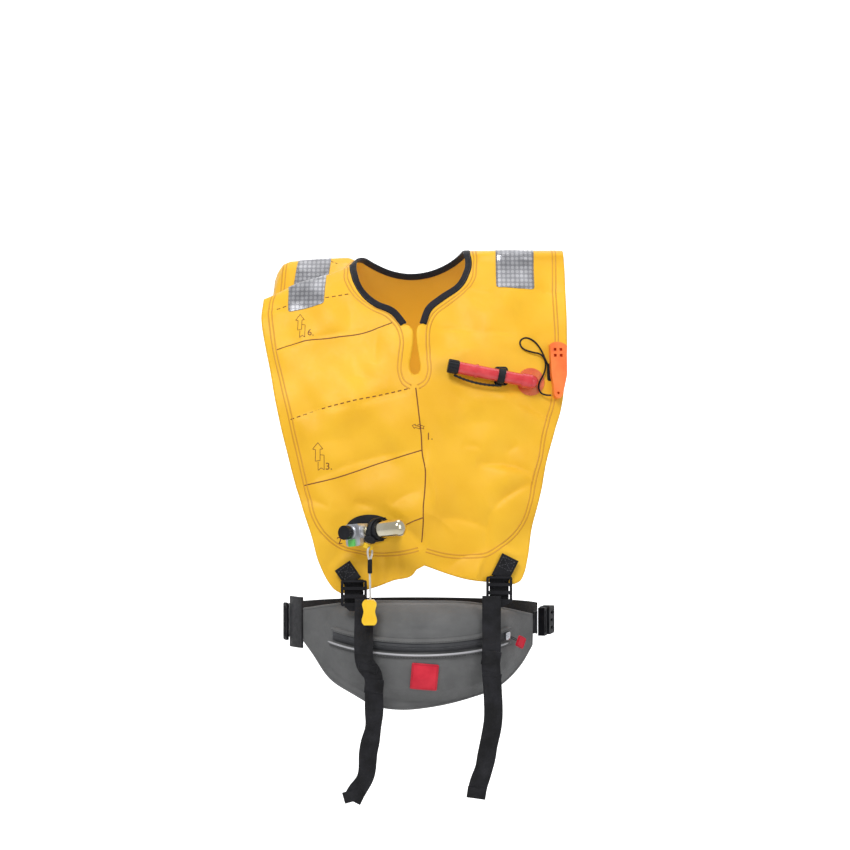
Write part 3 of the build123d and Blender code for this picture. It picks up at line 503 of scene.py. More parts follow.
def solid(name, low, high, rough, metal=0.0, scale=60.0, bump=0.0, grain=900.0, coat=0.0, through=0.0,
          spec=0.5):
    """Moulded plastic, rubber or metal with uneven colour, roughness and a fine grain."""
    material, tree, bsdf = graph(name)
    where = colour_noise(tree, bsdf, low, high, scale)
    rough_noise(tree, bsdf, where, max(0.02, rough - 0.05), rough + 0.05, 140)
    dial(bsdf, {"Metallic": metal, "Coat Weight": coat, "Coat Roughness": 0.12, "Transmission Weight": through,
                "IOR": 1.45, "Specular IOR Level": spec})
    if bump:
        fine = node(tree, "ShaderNodeTexNoise", {"Scale": grain})
        tree.links.new(where.outputs["Object"], fine.inputs["Vector"])
        bump_from(tree, fine.outputs["Fac"], bsdf, bump, 0.0003)
    return material


def tape_material():
    """Retro-reflective film: grey with a lattice of small lighter cells."""
    material, tree, bsdf = graph("reflective_film")
    where = node(tree, "ShaderNodeTexCoord")
    place = node(tree, "ShaderNodeMapping", {"Scale": (190, 0.0, 190)})
    cells = node(tree, "ShaderNodeTexVoronoi", {"Scale": 1.0, "Randomness": 0.0}, feature="F1")
    ramp = two_colours(tree, (0.30, (0.44, 0.44, 0.46)), (0.46, (0.26, 0.26, 0.28)))
    cloud = node(tree, "ShaderNodeTexNoise", {"Scale": 45, "Detail": 5})
    mix = node(tree, "ShaderNodeMix", {0: 0.75}, data_type="RGBA", blend_type="OVERLAY")
    tree.links.new(where.outputs["Object"], place.inputs["Vector"])
    tree.links.new(place.outputs["Vector"], cells.inputs["Vector"])
    tree.links.new(cells.outputs["Distance"], ramp.inputs["Fac"])
    tree.links.new(where.outputs["Object"], cloud.inputs["Vector"])
    tree.links.new(ramp.outputs["Color"], mix.inputs[6])
    tree.links.new(cloud.outputs["Fac"], mix.inputs[7])
    tree.links.new(mix.outputs[2], bsdf.inputs["Base Color"])
    bump_from(tree, cloud.outputs["Fac"], bsdf, 0.35, 0.0005)
    rough_noise(tree, bsdf, where, 0.16, 0.42, 60)
    bsdf.inputs["Metallic"].default_value = 0.55
    return material


YELLOW = cloth("bladder_cloth", (0.86, 0.456, 0.018), (0.93, 0.53, 0.028), 0.9, 0.22, 0.4, blotch=14.0,
               spec=0.3)
YELLOW_BACK = cloth("bladder_cloth_inner", (0.80, 0.41, 0.025), (0.86, 0.46, 0.034), 0.9, 0.22, 0.5,
                    blotch=14.0, spec=0.3)
SEAM = cloth("weld_seam", (0.66, 0.30, 0.012), (0.72, 0.34, 0.016), 0.9, 0.1, 0.5)
INK = cloth("print_ink", (0.16, 0.035, 0.008), (0.24, 0.06, 0.012), 0.9, 0.25, 0.65, blotch=400.0)
FILM = tape_material()
BINDING = cloth("binding_cloth", (0.008, 0.008, 0.012), (0.017, 0.017, 0.024), 1.0, 0.7, 0.55, 0.04, spec=0.22)
WEB = cloth("webbing", (0.005, 0.005, 0.006), (0.015, 0.015, 0.019), 1.5, 1.0, 0.5, 0.06, spec=0.25,
            attribute="weave", blotch=60.0)
GREY = cloth("pouch_cloth", (0.108, 0.110, 0.110), (0.140, 0.141, 0.141), 0.9, 0.5, 0.62, 0.1, blotch=30.0)
GREY_DARK = cloth("zip_cloth", (0.045, 0.047, 0.052), (0.066, 0.068, 0.074), 0.8, 0.5, 0.42, 0.05)
PIPING = cloth("piping_cloth", (0.42, 0.42, 0.44), (0.55, 0.55, 0.57), 0.7, 0.4, 0.4, 0.1)
THREAD = cloth("thread", (0.05, 0.05, 0.055), (0.09, 0.09, 0.1), 0.5, 0.5, 0.6)
THREAD_GREY = cloth("thread_grey", (0.055, 0.056, 0.057), (0.075, 0.076, 0.077), 0.5, 0.5, 0.6)
BLACK = solid("black_moulding", (0.006, 0.006, 0.008), (0.014, 0.014, 0.017), 0.34, bump=0.35, spec=0.3)
MATT = solid("black_moulding_matt", (0.006, 0.006, 0.008), (0.013, 0.013, 0.016), 0.62, bump=0.35, spec=0.08)
RUBBER = solid("black_rubber", (0.008, 0.009, 0.011), (0.02, 0.021, 0.025), 0.5, bump=0.5, grain=500, spec=0.25)
RED_TUBE = solid("red_tube", (0.80, 0.035, 0.05), (0.92, 0.075, 0.09), 0.22, coat=0.6, through=0.25, scale=90,
                 bump=0.15)
ORANGE_DISC = solid("orange_film", (0.93, 0.16, 0.05), (0.98, 0.26, 0.08), 0.3, coat=0.4, through=0.25,
                    bump=0.2)
WHISTLE = solid("orange_moulding", (0.90, 0.15, 0.018), (0.98, 0.22, 0.035), 0.36, coat=0.35, bump=0.2)
WHITE_CORD = cloth("white_cord", (0.62, 0.61, 0.58), (0.82, 0.81, 0.78), 0.6, 0.8, 0.6, 0.2)
BLACK_CORD = cloth("black_cord", (0.007, 0.007, 0.009), (0.017, 0.017, 0.021), 0.6, 0.8, 0.5, 0.05, spec=0.25)
TOGGLE = solid("yellow_moulding", (0.95, 0.56, 0.012), (0.98, 0.64, 0.03), 0.38, coat=0.3, bump=0.25)
STEEL = solid("plated_steel", (0.66, 0.60, 0.44), (0.80, 0.75, 0.60), 0.14, metal=1.0, bump=0.08, grain=300)
NICKEL = solid("satin_metal", (0.58, 0.59, 0.62), (0.72, 0.73, 0.76), 0.33, metal=0.75, bump=0.3, grain=700)
CHROME = solid("chrome", (0.70, 0.71, 0.74), (0.82, 0.83, 0.86), 0.1, metal=1.0)
GREEN = solid("green_clip", (0.10, 0.55, 0.10), (0.18, 0.68, 0.16), 0.35, coat=0.4, bump=0.2)
RED = solid("red_rubber", (0.62, 0.016, 0.04), (0.74, 0.028, 0.055), 0.42, bump=0.3, spec=0.3)
RED_RIM = solid("red_rubber_rim", (0.50, 0.014, 0.035), (0.60, 0.022, 0.045), 0.4, bump=0.3, spec=0.35)


# ------------------------------------------------------------------ cords, on the routes of their CAD tubes
def route_curve(name, points, diameter, material, body):
    data = bpy.data.curves.new(name, "CURVE")
    data.dimensions = "3D"
    spline = data.splines.new("NURBS")
    spline.points.add(len(points) - 1)
    for control, point in zip(spline.points, points):
        control.co = (*(float(v) * MM for v in point), 1)
    spline.order_u = 3
    spline.use_endpoint_u = True
    spline.resolution_u = 16
    data.bevel_depth = diameter * MM / 2
    data.bevel_resolution = 5
    data.use_fill_caps = True
    data.materials.append(material)
    curve = bpy.data.objects.new(name, data)
    bpy.context.scene.collection.objects.link(curve)
    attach(curve, body)
    return curve


def plain_point(x, z, lift):
    """The point of the plain form at this x and z and at a height above it."""
    low, high = 0.0, 170.0
    for _ in range(40):
        t = (low + high) / 2
        point = plain_lift(x, t, lift)
        low, high = (t, high) if point[2] > z else (low, t)
    return point


def plain_lift(x, t, lift):
    def at(a, b):
        return np.array([float(v) for v in form(np.float64(a), np.float64(b))])
    normal = np.cross(at(x, t + 0.001) - at(x, t - 0.001), at(x + 0.001, t) - at(x - 0.001, t))
    return at(x, t) + normal / np.linalg.norm(normal) * lift


CORD_ROUTE = [(157.0, -143.0), (152.0, -132.0), (147.5, -120.0), (140.0, -109.5), (129.5, -104.5),
              (121.5, -109.5), (124.5, -118.5), (135.5, -122.5), (147.0, -124.5), (152.0, -134.0),
              (150.5, -147.0), (144.0, -157.0), (143.0, -167.0), (149.0, -173.0), (156.8, -172.5)]
CORD_LIFT = [4.1, 3.6, 2.9, 2.9, 2.9, 2.9, 3.4, 4.6, 5.9, 6.0, 5.0, 4.6, 5.0, 7.2, 9.4]
whistle_route = [plain_point(x, z, lift) for (x, z), lift in zip(CORD_ROUTE, CORD_LIFT)]
whistle_line = route_curve("whistle_line", whistle_route, 2.0, BLACK_CORD, "whistle")
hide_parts("whistle_cord")

EYE = np.array([-50.1018, -153.732, -346.925])
STEM_WAY = np.array([-0.573576, -0.819152, 0.0])
LANYARD_ROUTE = [(1.3, -13.6), (4.4, -7.5), (4.1, -1.5), (0.0, 1.1), (-4.1, -1.5), (-4.4, -7.5), (-1.1, -13.0),
                 (0.4, -28.0), (-0.4, -43.0), (-0.8, -58.9)]
lanyard_route = [EYE + STEM_WAY * along + np.array([0, 0, z]) for along, z in LANYARD_ROUTE]
lanyard_line = route_curve("lanyard_line", lanyard_route, 2.3, WHITE_CORD, "lanyard")
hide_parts("lanyard_cord")


# ------------------------------------------------------------------ bladder
RIGHT_EDGE = [(178, -21), (178, -80), (178, -118), (175, -155), (169, -194), (162, -216), (150, -264),
              (139, -314), (131, -362), (127, -378), (122, -387), (115, -390.5)]
BOTTOM_LEFT = [(115, -390.5), (86, -388), (60, -384.5), (37, -378), (19, -371.5), (12, -369)]
BOTTOM_RIGHT = [(3, -373.5), (-1, -379), (-24, -386), (-42, -393), (-52, -396), (-84, -401)]
LEFT_EDGE = [(-84, -401), (-91, -397), (-98, -389), (-109, -366), (-116, -340), (-130, -296), (-147, -240),
             (-159, -184), (-167, -148), (-174, -116), (-178, -86), (-177.5, -68)]
BACK_LEFT = [(175.5, 0), (174, -22), (172, -50), (169, -66), (163, -78), (150, -86), (128, -92), (90, -94.5),
             (0, -95)]
BACK_RIGHT = [(0, -95), (-90, -94.5), (-126, -92), (-148, -86), (-160, -78), (-165, -66), (-167, -45),
              (-167.5, -20), (-169, 0), (-174, 12)]
NECK_RIGHT = [(-12, -91), (-24, -77), (-42, -67), (-62, -50), (-71, -28)]
NECK_LEFT = [(10, -90), (17, -71), (33, -57), (52, -44), (62, -25)]
SCOOP = [(-72, 8), (-71, 2), (-68, -4), (-62, -12), (-52, -22), (-30, -32), (-5, -35.5), (20, -33.5), (42, -26),
         (54, -17), (60, -7), (62, 3), (62.5, 10)]
KEYHOLE = [(2.5, -103), (3.6, -114), (5.8, -128), (7.2, -140), (5.8, -146.5), (1, -149.5), (-3.8, -146.5),
           (-5.2, -140), (-3.6, -128), (-1.6, -114), (-1, -103)]

back_left = np.array(BACK_LEFT, float)
back_right = np.array(BACK_RIGHT, float)


def flat_through(xt, step=2.2):
    """A smooth path through points in x and t, evenly spaced on the sheet."""
    return from_flat(through(to_flat(np.asarray(xt, float)), step))


def chain(*parts):
    return np.concatenate([p[:-1] for p in parts])


edge_right = flat_through(front(RIGHT_EDGE))
outline = chain(
    edge_right,
    flat_through(front(BOTTOM_LEFT)),
    front([(12, -369), (3, -373.5)]),
    flat_through(front(BOTTOM_RIGHT)),
    flat_through(np.concatenate([front(LEFT_EDGE), back_right[::-1]])),
    flat_through(back_left[::-1]),
    np.stack([np.linspace(175.5, 178, 12), np.linspace(0, edge_right[0, 1], 12)], -1),
)
neck_path = flat_through(np.concatenate([front(NECK_RIGHT), SCOOP, front(NECK_LEFT[::-1])]))
neck_hole = np.concatenate([neck_path, front([(5, -93), (3, -97)]), flat_through(front(KEYHOLE), 1.6),
                            front([(-2, -97), (-6, -93)])])

bladder = patch("bladder_outer", outline, [neck_hole], OUTER, SHEET, 2.3, YELLOW, slot="bladder_fabric")
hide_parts("bladder_outer_sheet")
lining = patch("bladder_inner", outline, [neck_hole], SHEET, SHEET, 4.0, YELLOW_BACK, slot="bladder_fabric")
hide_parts("bladder_inner_sheet")

# welded seams, two beads side by side, inside the cut edge and round the neck
SEAM_RIGHT = [(-168.5, -73), (-166.5, -95), (-160.5, -127), (-152, -161), (-145, -187), (-137, -225),
              (-129, -258), (-121, -290), (-114, -314), (-103, -332), (-87, -346), (-60, -354), (-30, -356),
              (-8, -353), (5, -350)]
SEAM_LEFT = [(165.5, -22), (165.5, -70), (165.5, -118), (163, -155), (160, -182), (151, -214), (146, -243),
             (139, -265), (133, -296), (126, -318), (112, -337), (98, -348), (84, -356), (63, -358.5),
             (38, -357), (14, -351)]
SEAM_NECK_RIGHT = [(-4, -164), (-12, -158), (-16.5, -146), (-16, -128), (-14.5, -110), (-17, -98), (-29, -82),
                   (-50, -70), (-69, -56), (-79, -39), (-80.5, -24)]
SEAM_NECK_LEFT = [(5, -164), (13, -158), (17.5, -146), (17, -128), (15.5, -110), (16, -96), (22, -79),
                  (40, -63), (59, -49), (70, -33), (71.5, -20)]
ROUND = [(-1.0, -0.12), (-0.62, 0.16), (0, 0.26), (0.62, 0.16), (1.0, -0.12)]
seam_paths = []
for path, over in ((SEAM_RIGHT, [(-163, 22), (-158, 2), (-155, -24), (-152, -60), (-140, -80), (-118, -86),
                                 (0, -89)]),
                   (SEAM_LEFT, [(165, 6), (163, -20), (160, -60), (148, -78), (120, -86), (0, -89)])):
    seam_paths.append(np.concatenate([np.array(over[::-1], float), front(path)]))
seam_paths.append(np.concatenate([front(SEAM_NECK_RIGHT), [(-81, 8), (-78, -8), (-68, -22), (-50, -32),
                                                           (-5, -43)]]))
seam_paths.append(np.concatenate([front(SEAM_NECK_LEFT), [(71.5, 8), (69, -8), (60, -22), (42, -32),
                                                          (-5, -43)]]))
for number, path in enumerate(seam_paths):
    for k, shift in enumerate((-1.9, 1.9)):
        line = from_flat(beside(through(to_flat(path), 2.5), shift))
        bead(f"weld_seam_{number + 1}_{k + 1}", line, ROUND, SEAM, slot="bladder_fabric")

# fold lines and step marks printed on the sheet
PRINT = 0.14
FLAT_LINE = [(-0.62, -0.1), (-0.62, PRINT), (0.62, PRINT), (0.62, -0.1)]


def printed(name, points, on=None, off=3.2, width=1.0, in_turns=False):
    """A printed line through points, whole or dashed with dashes of length on."""
    xt = np.array(points, float) if in_turns else front(points)
    path = through(to_flat(xt), 1.6)
    runs = np.concatenate([[0], np.cumsum(np.linalg.norm(np.diff(path, axis=0), axis=1))])
    pieces = [(0, runs[-1])]
    if on:
        pieces = [(s, min(s + on, runs[-1])) for s in np.arange(0, runs[-1] - 2, on + off)]
    parts = []
    for a, b in pieces:
        q = np.linspace(a, b, max(3, int((b - a) / 1.6)))
        dash = np.stack([np.interp(q, runs, path[:, i]) for i in (0, 1)], -1)
        middle, normals = sheet_points(from_flat(dash), OUTER)
        along = np.gradient(middle, axis=0)
        side = np.cross(normals, along / np.linalg.norm(along, axis=1)[:, None])
        section = [(s * width, o) for s, o in FLAT_LINE]
        parts.append(sweep_rings([laid(middle[i], section, side[i], normals[i]) for i in range(len(middle))]))
    verts, faces = joined(parts)
    return make(name, verts, faces, INK, slot="bladder_fabric")


printed("fold_line_5_outer", [(-161, -72), (-148, -69)], 4.2)
printed("fold_line_5", [(-103, -61), (-88, -57.5), (-74, -55)], 4.2)
printed("fold_line_6", [(-160, -120), (-146, -115.5), (-129, -110.6), (-90, -104), (-53, -98), (-40, -93.5),
                        (-25, -89)])
printed("fold_line_4", [(-142, -201), (-104, -188), (-66, -179), (-36, -172), (-7, -166)], 4.2)
printed("fold_line_3", [(-127, -277), (-90, -268), (-40, -251), (9, -236)])
printed("fold_line_2", [(-12, -323), (0, -317), (11, -313)])
printed("fold_line_centre", [(2, -165), (5, -190), (8.5, -222), (9.5, -240), (13, -259), (12.5, -280),
                             (10.5, -303), (10.5, -318), (9, -342)], width=1.1)
printed("fold_line_back", [(-122, -25), (-108, -20), (-92, -13)], 3.6, in_turns=True)


def on_sheet(name, flat_points, faces, place, turn=0.0):
    """Flat artwork, in mm about its own corner, printed on the sheet at a place."""
    p = np.asarray(flat_points, float)
    c, s = math.cos(turn), math.sin(turn)
    x = place[0] + p[:, 0] * c - p[:, 1] * s
    z = place[1] + p[:, 0] * s + p[:, 1] * c
    points, normals = sheet_points(np.stack([x, turn_at(x, z)], -1), OUTER + PRINT)
    return make(name, points, faces, INK, slot="bladder_fabric")


ARROW = [(0, 0), (4.9, -6.3), (2.2, -6.6), (2.2, -17.8), (-2.6, -18.5), (-2.4, -7), (-5.3, -6.6), (0, 0)]
ARROW_TAIL = [(2.2, -12.1), (6.2, -12.5), (6.2, -27.1), (3.2, -25.1), (0.2, -27.7), (0.2, -19.2)]
ARROWS = [(-133, -78.5, 1.0, 0), (-110.5, -227.5, 1.15, 0), (-2, -208, 0.5, math.radians(74))]
for number, (x, z, size, turn) in enumerate(ARROWS):
    for k, art in enumerate((ARROW, ARROW_TAIL)):
        c, s = math.cos(turn), math.sin(turn)
        path = [(x + size * (a * c - b * s), z + size * (a * s + b * c)) for a, b in art]
        pieces = [np.linspace(path[i], path[i + 1], 6)[:-1] for i in range(len(path) - 1)]
        whole = np.concatenate(pieces + [[path[-1]]])
        line = front(whole)
        bead(f"fold_arrow_{number + 1}_{k + 1}", line, [(-0.32, 0), (-0.32, PRINT), (0.32, PRINT), (0.32, 0)],
             INK, slot="bladder_fabric")


def numeral(name, text, place, height, turn=0.0):
    data = bpy.data.curves.new(name, "FONT")
    data.body = text
    data.size = 10
    data.fill_mode = "FRONT"
    letter = bpy.data.objects.new(name, data)
    bpy.context.scene.collection.objects.link(letter)
    bpy.context.view_layer.update()
    mesh = bpy.data.meshes.new_from_object(letter)
    points = np.array([v.co[:2] for v in mesh.vertices])
    faces = [list(f.vertices) for f in mesh.polygons]
    bpy.data.objects.remove(letter)
    bpy.data.meshes.remove(mesh)
    points -= points.min(0)
    on_sheet(name, points * height / points[:, 1].max(), faces, place, turn=turn)


numeral("step_mark_6", "6.", (-123.5, -103.5), 7.4)
numeral("step_mark_3", "3.", (-101.5, -258.5), 8.0)
numeral("step_mark_1", "1.", (16.0, -224.0), 8.0)
numeral("step_mark_2", "2", (-87.5, -344.5), 8.4, math.radians(8))

# tape folded over the cut edge of the neck opening
BIND = [(-4.2, -0.5), (-4.45, 0.7), (-4.2, 1.9), (-3.2, 2.35), (-1.2, 2.45), (1.6, 2.45), (3.0, 2.35),
        (3.8, 2.1), (3.85, 1.5), (3.85, -0.2), (3.0, -0.75), (-2.8, -0.8)]
binding_path = from_flat(through(to_flat(neck_path[::3]), 1.8))
binding = bead("neck_tape", binding_path, [(-s, o - OUTER) for s, o in BIND], BINDING, slot="black_webbing")
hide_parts("neck_binding")
stitches = from_flat(beside(to_flat(binding_path), -2.6))
bead("neck_tape_stitch", stitches, [(-0.3, 0.82), (0, 1.08), (0.3, 0.82)], THREAD, slot="black_webbing")


# ------------------------------------------------------------------ reflective tapes
def rounded(corners, radii):
    """A closed outline whose corners have the given radii."""
    p = np.asarray(corners, float)
    made = []
    for i, radius in enumerate(radii):
        before, here, after = p[i - 1], p[i], p[(i + 1) % len(p)]
        if radius == 0:
            made.append([here])
            continue
        a = here + (before - here) / np.linalg.norm(before - here) * radius
        b = here + (after - here) / np.linalg.norm(after - here) * radius
        u = np.linspace(0, 1, 7)[:, None]
        made.append((1 - u) ** 2 * a + 2 * u * (1 - u) * here + u**2 * b)
    made = np.concatenate(made)
    full = []
    for a, b in zip(made, np.roll(made, -1, 0)):
        n = max(1, int(np.linalg.norm(b - a) / 2.0))
        full.append(a + np.outer(np.arange(n) / n, b - a))
    return np.concatenate(full)


lower_left = to_flat(front([(96, -48), (141, -48)]))
tape_left = from_flat(rounded([(96, -82), (96, lower_left[0, 1]), (141, lower_left[1, 1]), (141, -82)],
                              [5, 5, 5, 5]))
film_left = patch("reflective_film_left", tape_left, [], OUTER + 0.55, 0.4, 2.0, FILM, slot="reflective_tape")
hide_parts("reflective_tape_left")
lower_right = to_flat(front([(-104.5, -68), (-147, -76)]))
tape_right = from_flat(rounded([(-139, -50), (-147, 25), (-147, lower_right[1, 1]), (-104.5, lower_right[0, 1]),
                                (-103, 25), (-100, -62)], [7, 0, 4, 5, 0, 7]))
film_right = patch("reflective_film_right", tape_right, [], OUTER + 0.55, 0.4, 2.0, FILM,
                   slot="reflective_tape")
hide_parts("reflective_tape_right")


# ------------------------------------------------------------------ straps
def strap(name, centres, turns, width, thick, material=WEB, body="jacket", slot="black_webbing", step=2.0,
          wave=0.0, free=False):
    """Webbing through the listed centres (mm), its face turned about Z by the listed angles."""
    rows = np.concatenate([np.asarray(centres, float), np.asarray(turns, float)[:, None] * 0.6], axis=1)
    path = through(rows, step)
    points, angles = path[:, :3], np.radians(path[:, 3] / 0.6)
    along = np.gradient(points, axis=0)
    along /= np.linalg.norm(along, axis=1)[:, None]
    across = np.stack([np.cos(angles), np.sin(angles), np.zeros(len(angles))], -1)
    across -= along * np.einsum("ij,ij->i", across, along)[:, None]
    across /= np.linalg.norm(across, axis=1)[:, None]
    normal = np.cross(across, along)
    h, e = width / 2, thick / 2
    section = [(-h + 0.5, -e), (-h * 0.5, -e * 0.9), (0, -e * 0.9), (h * 0.5, -e * 0.9), (h - 0.5, -e),
               (h, -e * 0.4), (h, e * 0.4), (h - 0.5, e), (h * 0.5, e * 0.9), (0, e * 0.9), (-h * 0.5, e * 0.9),
               (-h + 0.5, e), (-h, e * 0.4), (-h, -e * 0.4)]
    gone = np.concatenate([[0], np.cumsum(np.linalg.norm(np.diff(points, axis=0), axis=1))])
    cup = wave * np.sin(gone / 19.0)
    rings = []
    for i in range(len(points)):
        cupped = [(s, o + cup[i] * (1 - (s / h) ** 2)) for s, o in section]
        rings.append(laid(points[i], cupped, across[i], normal[i]))
    verts, faces = sweep_rings(rings)
    thing = make(name, verts, faces, material, body=None if free else body, slot=slot)
    return weave(thing, [(s, gone[i], o) for i in range(len(points)) for s, o in section])


def stitch_line(name, a, b, normal, material=THREAD, body="jacket", slot="black_webbing", pitch=3.4,
                length=2.2):
    """A row of raised stitches from a to b, on a face with this normal (mm)."""
    a, b, n = (np.asarray(v, float) for v in (a, b, normal))
    run = np.linalg.norm(b - a)
    d = (b - a) / run
    n = n - d * (n @ d)
    n /= np.linalg.norm(n)
    side = np.cross(d, n)
    parts = []
    for start in np.arange(0, run - length, pitch):
        rings = []
        for u in np.linspace(0, 1, 5):
            at = a + d * (start + u * length)
            high = 0.55 * math.sin(math.pi * u) ** 0.5 + 0.02
            section = [(-0.35, -0.1), (-0.22, high * 0.8), (0.22, high * 0.8), (0.35, -0.1)]
            rings.append(laid(at, section, side, n))
        parts.append(sweep_rings(rings))
    verts, faces = joined(parts)
    return make(name, verts, faces, material, body=body, slot=slot)


SIDES = {
    "right": dict(
        tab=[(-82.5, -368.5), (-69.5, -387.5)], lock=(-69, -131.5, -400),
        tail=[(-57, -134.6, -406), (-57.5, -138.9, -434), (-57.5, -148.3, -457), (-56, -151, -478),
              (-47, -150.5, -492), (-45.5, -150.5, -520), (-46.5, -150, -552), (-52, -149, -580),
              (-55, -148.5, -608), (-67, -148, -628), (-71, -148, -636)],
        turns=[0, 0, 0, -8, 14, 10, -32, 10, 24, 5, 0]),
    "left": dict(
        tab=[(111, -359), (98.5, -384)], lock=(98, -126.0, -396),
        tail=[(89, -131.4, -403), (89, -132, -436), (89, -139, -458), (88, -141, -480),
              (90, -141, -510), (90.5, -141, -545), (85, -140.5, -575), (80, -140, -600),
              (73, -139.5, -622), (71, -139.5, -634)],
        turns=[0, 0, 6, -10, 8, -6, 12, -22, 0, 0]),
}
for side, s in SIDES.items():
    x, y, z = s["lock"]
    (x0, z0), (x1, z1) = s["tab"]
    flat_y = y + 1.8 + 0.3 + 0.75
    top = sheet_points(np.array([[x0, float(turn_at(x0, z0))]]), OUTER + 0.85, relieved=False)[0][0]
    tab = strap(f"strap_end_{side}", [(x0, min(top[1], flat_y), z0), ((x0 + x1) / 2, flat_y, (z0 + z1) / 2),
                                      (x1, flat_y, z1)], [0, 0, 0], 21, 1.5)
    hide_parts(f"strap_tab_{side}")
    d = np.array([x1 - x0, z1 - z0]) / math.hypot(x1 - x0, z1 - z0)
    o = np.array([-d[1], d[0]])
    corners = [np.array([x0, z0]) + d * 3 + o * 7.5, np.array([x0, z0]) + d * 3 - o * 7.5,
               np.array([x0, z0]) + d * 15 - o * 7.5, np.array([x0, z0]) + d * 15 + o * 7.5]
    for k, (i, j) in enumerate(((0, 1), (1, 2), (2, 3), (3, 0), (0, 2), (1, 3))):
        a = (corners[i][0], flat_y - 0.85, corners[i][1])
        b = (corners[j][0], flat_y - 0.85, corners[j][1])
        stitch_line(f"strap_end_stitch_{side}_{k + 1}", a, b, (0, -1, 0))
    load = strap(f"load_webbing_{side}",
                 [(x, flat_y, z + 4), (x, flat_y + 1.5, z - 9), (x, flat_y + 6, z - 17)], [0, 0, 0], 22, 1.5)
    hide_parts(f"load_strap_{side}")
    strap(f"lock_loop_{side}", [(x, flat_y + 0.9, z + 15.5), (x, flat_y + 1.3, z + 10),
                                  (x, flat_y + 0.9, z + 4.2)], [0, 0, 0], 22, 1.3)
    tail = strap(f"tail_webbing_{side}", s["tail"], s["turns"], 21.5, 1.5, free=True, wave=0.7)
    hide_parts(f"strap_tail_{side}")
    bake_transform(tail)


def hem(name, side, centre, width, height, thick, turn, tilt):
    """The webbing's end folded back on itself and sewn, or a thick fold in it."""
    body = f"strap_tail_{side}"
    c = np.asarray(centre, float)
    across = np.array([math.cos(math.radians(turn)), math.sin(math.radians(turn)),
                       math.sin(math.radians(tilt))])
    across /= np.linalg.norm(across)
    down = np.array([0, 0, -1.0]) + across * math.sin(math.radians(tilt))
    down /= np.linalg.norm(down)
    a = c - down * height / 2
    b = c + down * height / 2
    normal = np.cross(across, down)
    h, e = width / 2, thick / 2
    ring = [(-h + 0.8, -e), (0, -e * 1.05), (h - 0.8, -e), (h, -e * 0.3), (h, e * 0.3), (h - 0.8, e),
            (0, e * 1.05), (-h + 0.8, e), (-h, e * 0.3), (-h, -e * 0.3)]
    rings, woven = [], []
    for u, f in ((0, 0.55), (0.06, 0.85), (0.16, 1), (0.5, 1.02), (0.84, 1), (0.94, 0.85), (1, 0.55)):
        at = a + (b - a) * u
        rings.append(laid(at, [(p, q * f) for p, q in ring], across, normal))
        woven += [(p, u * height + 0.7, q) for p, q in ring]
    verts, faces = sweep_rings(rings)
    return weave(make(name, verts, faces, WEB, body=body, slot="black_webbing"), woven)


hem("tail_hem_right", "right", (-70, -148.0, -630), 21.5, 13, 4.6, 3, 16)
hem("tail_fold_right_upper", "right", (-52.5, -151.2, -484), 22.3, 9, 4.0, -4, -10)
hem("tail_fold_right_lower", "right", (-45.5, -150.6, -505), 22.3, 16, 3.6, 12, -6)
hem("tail_hem_left", "left", (71.6, -139.5, -628), 21.5, 13, 4.6, 0, -8)
hem("tail_fold_left_upper", "left", (88.4, -140.6, -474), 22.3, 17, 3.6, -8, -8)
hem("tail_fold_left_lower", "left", (89.4, -141.2, -493), 22.3, 5, 3.2, -2, -8)


# ------------------------------------------------------------------ waist pouch
LEAN = math.radians(13)
BAG_CENTRE = np.array([7, -22.5, -424.8])
BAG_UP = np.array([0, -math.sin(LEAN), math.cos(LEAN)])
BAG_BACK = np.array([0, math.cos(LEAN), math.sin(LEAN)])
PROFILE = ([-82, -74, -58, -44, -30, -20, -13.5, -0.5, 8, 18, 28, 34],
           [112, 120, 130, 133.6, 134, 132.3, 130, 130, 127.6, 124, 117, 111])


def bag_point(angle, height, radius):
    """Points on the bag's round: angle from its middle toward +X in degrees."""
    a = np.radians(angle)
    out = np.stack([np.sin(a), np.zeros_like(a), np.zeros_like(a)], -1) - np.cos(a)[..., None] * BAG_BACK
    return BAG_CENTRE + out * np.reshape(radius, (-1, 1)) + np.reshape(height, (-1, 1)) * BAG_UP, out


def bag_depth(x, z):
    """The y of the bag's round at x and z, and the height along its leaning axis."""
    h = (z + 424.8 + 0.225 * 100) / 0.974
    for _ in range(12):
        r = np.interp(h, *PROFILE)
        c = np.sqrt(np.clip(1 - ((x - 7) / r) ** 2, 0.0, 1))
        h = (z + 424.8 + math.sin(LEAN) * r * c) / math.cos(LEAN)
    r = np.interp(h, *PROFILE)
    c = np.sqrt(np.clip(1 - ((x - 7) / r) ** 2, 0.0, 1))
    return -22.5 - math.cos(LEAN) * r * c - math.sin(LEAN) * h, h


def waist_depth(x, grow):
    return -(116 + grow) * np.sqrt(np.clip(1 - (x / (150 + grow)) ** 2, 0, 1))


POUCH_TOP = [(-133, -424), (-104, -418), (-70, -413), (0, -411), (70, -414), (108, -422), (139, -431)]
POUCH_END_LEFT = [(139, -431), (138, -466)]
POUCH_LOW = [(138, -466), (124, -487), (96, -511), (66, -521), (37, -528), (12, -532), (-11, -534), (-45, -530),
             (-69, -518), (-96, -502), (-119, -472), (-132, -456)]
POUCH_END_RIGHT = [(-132, -456), (-133, -424)]
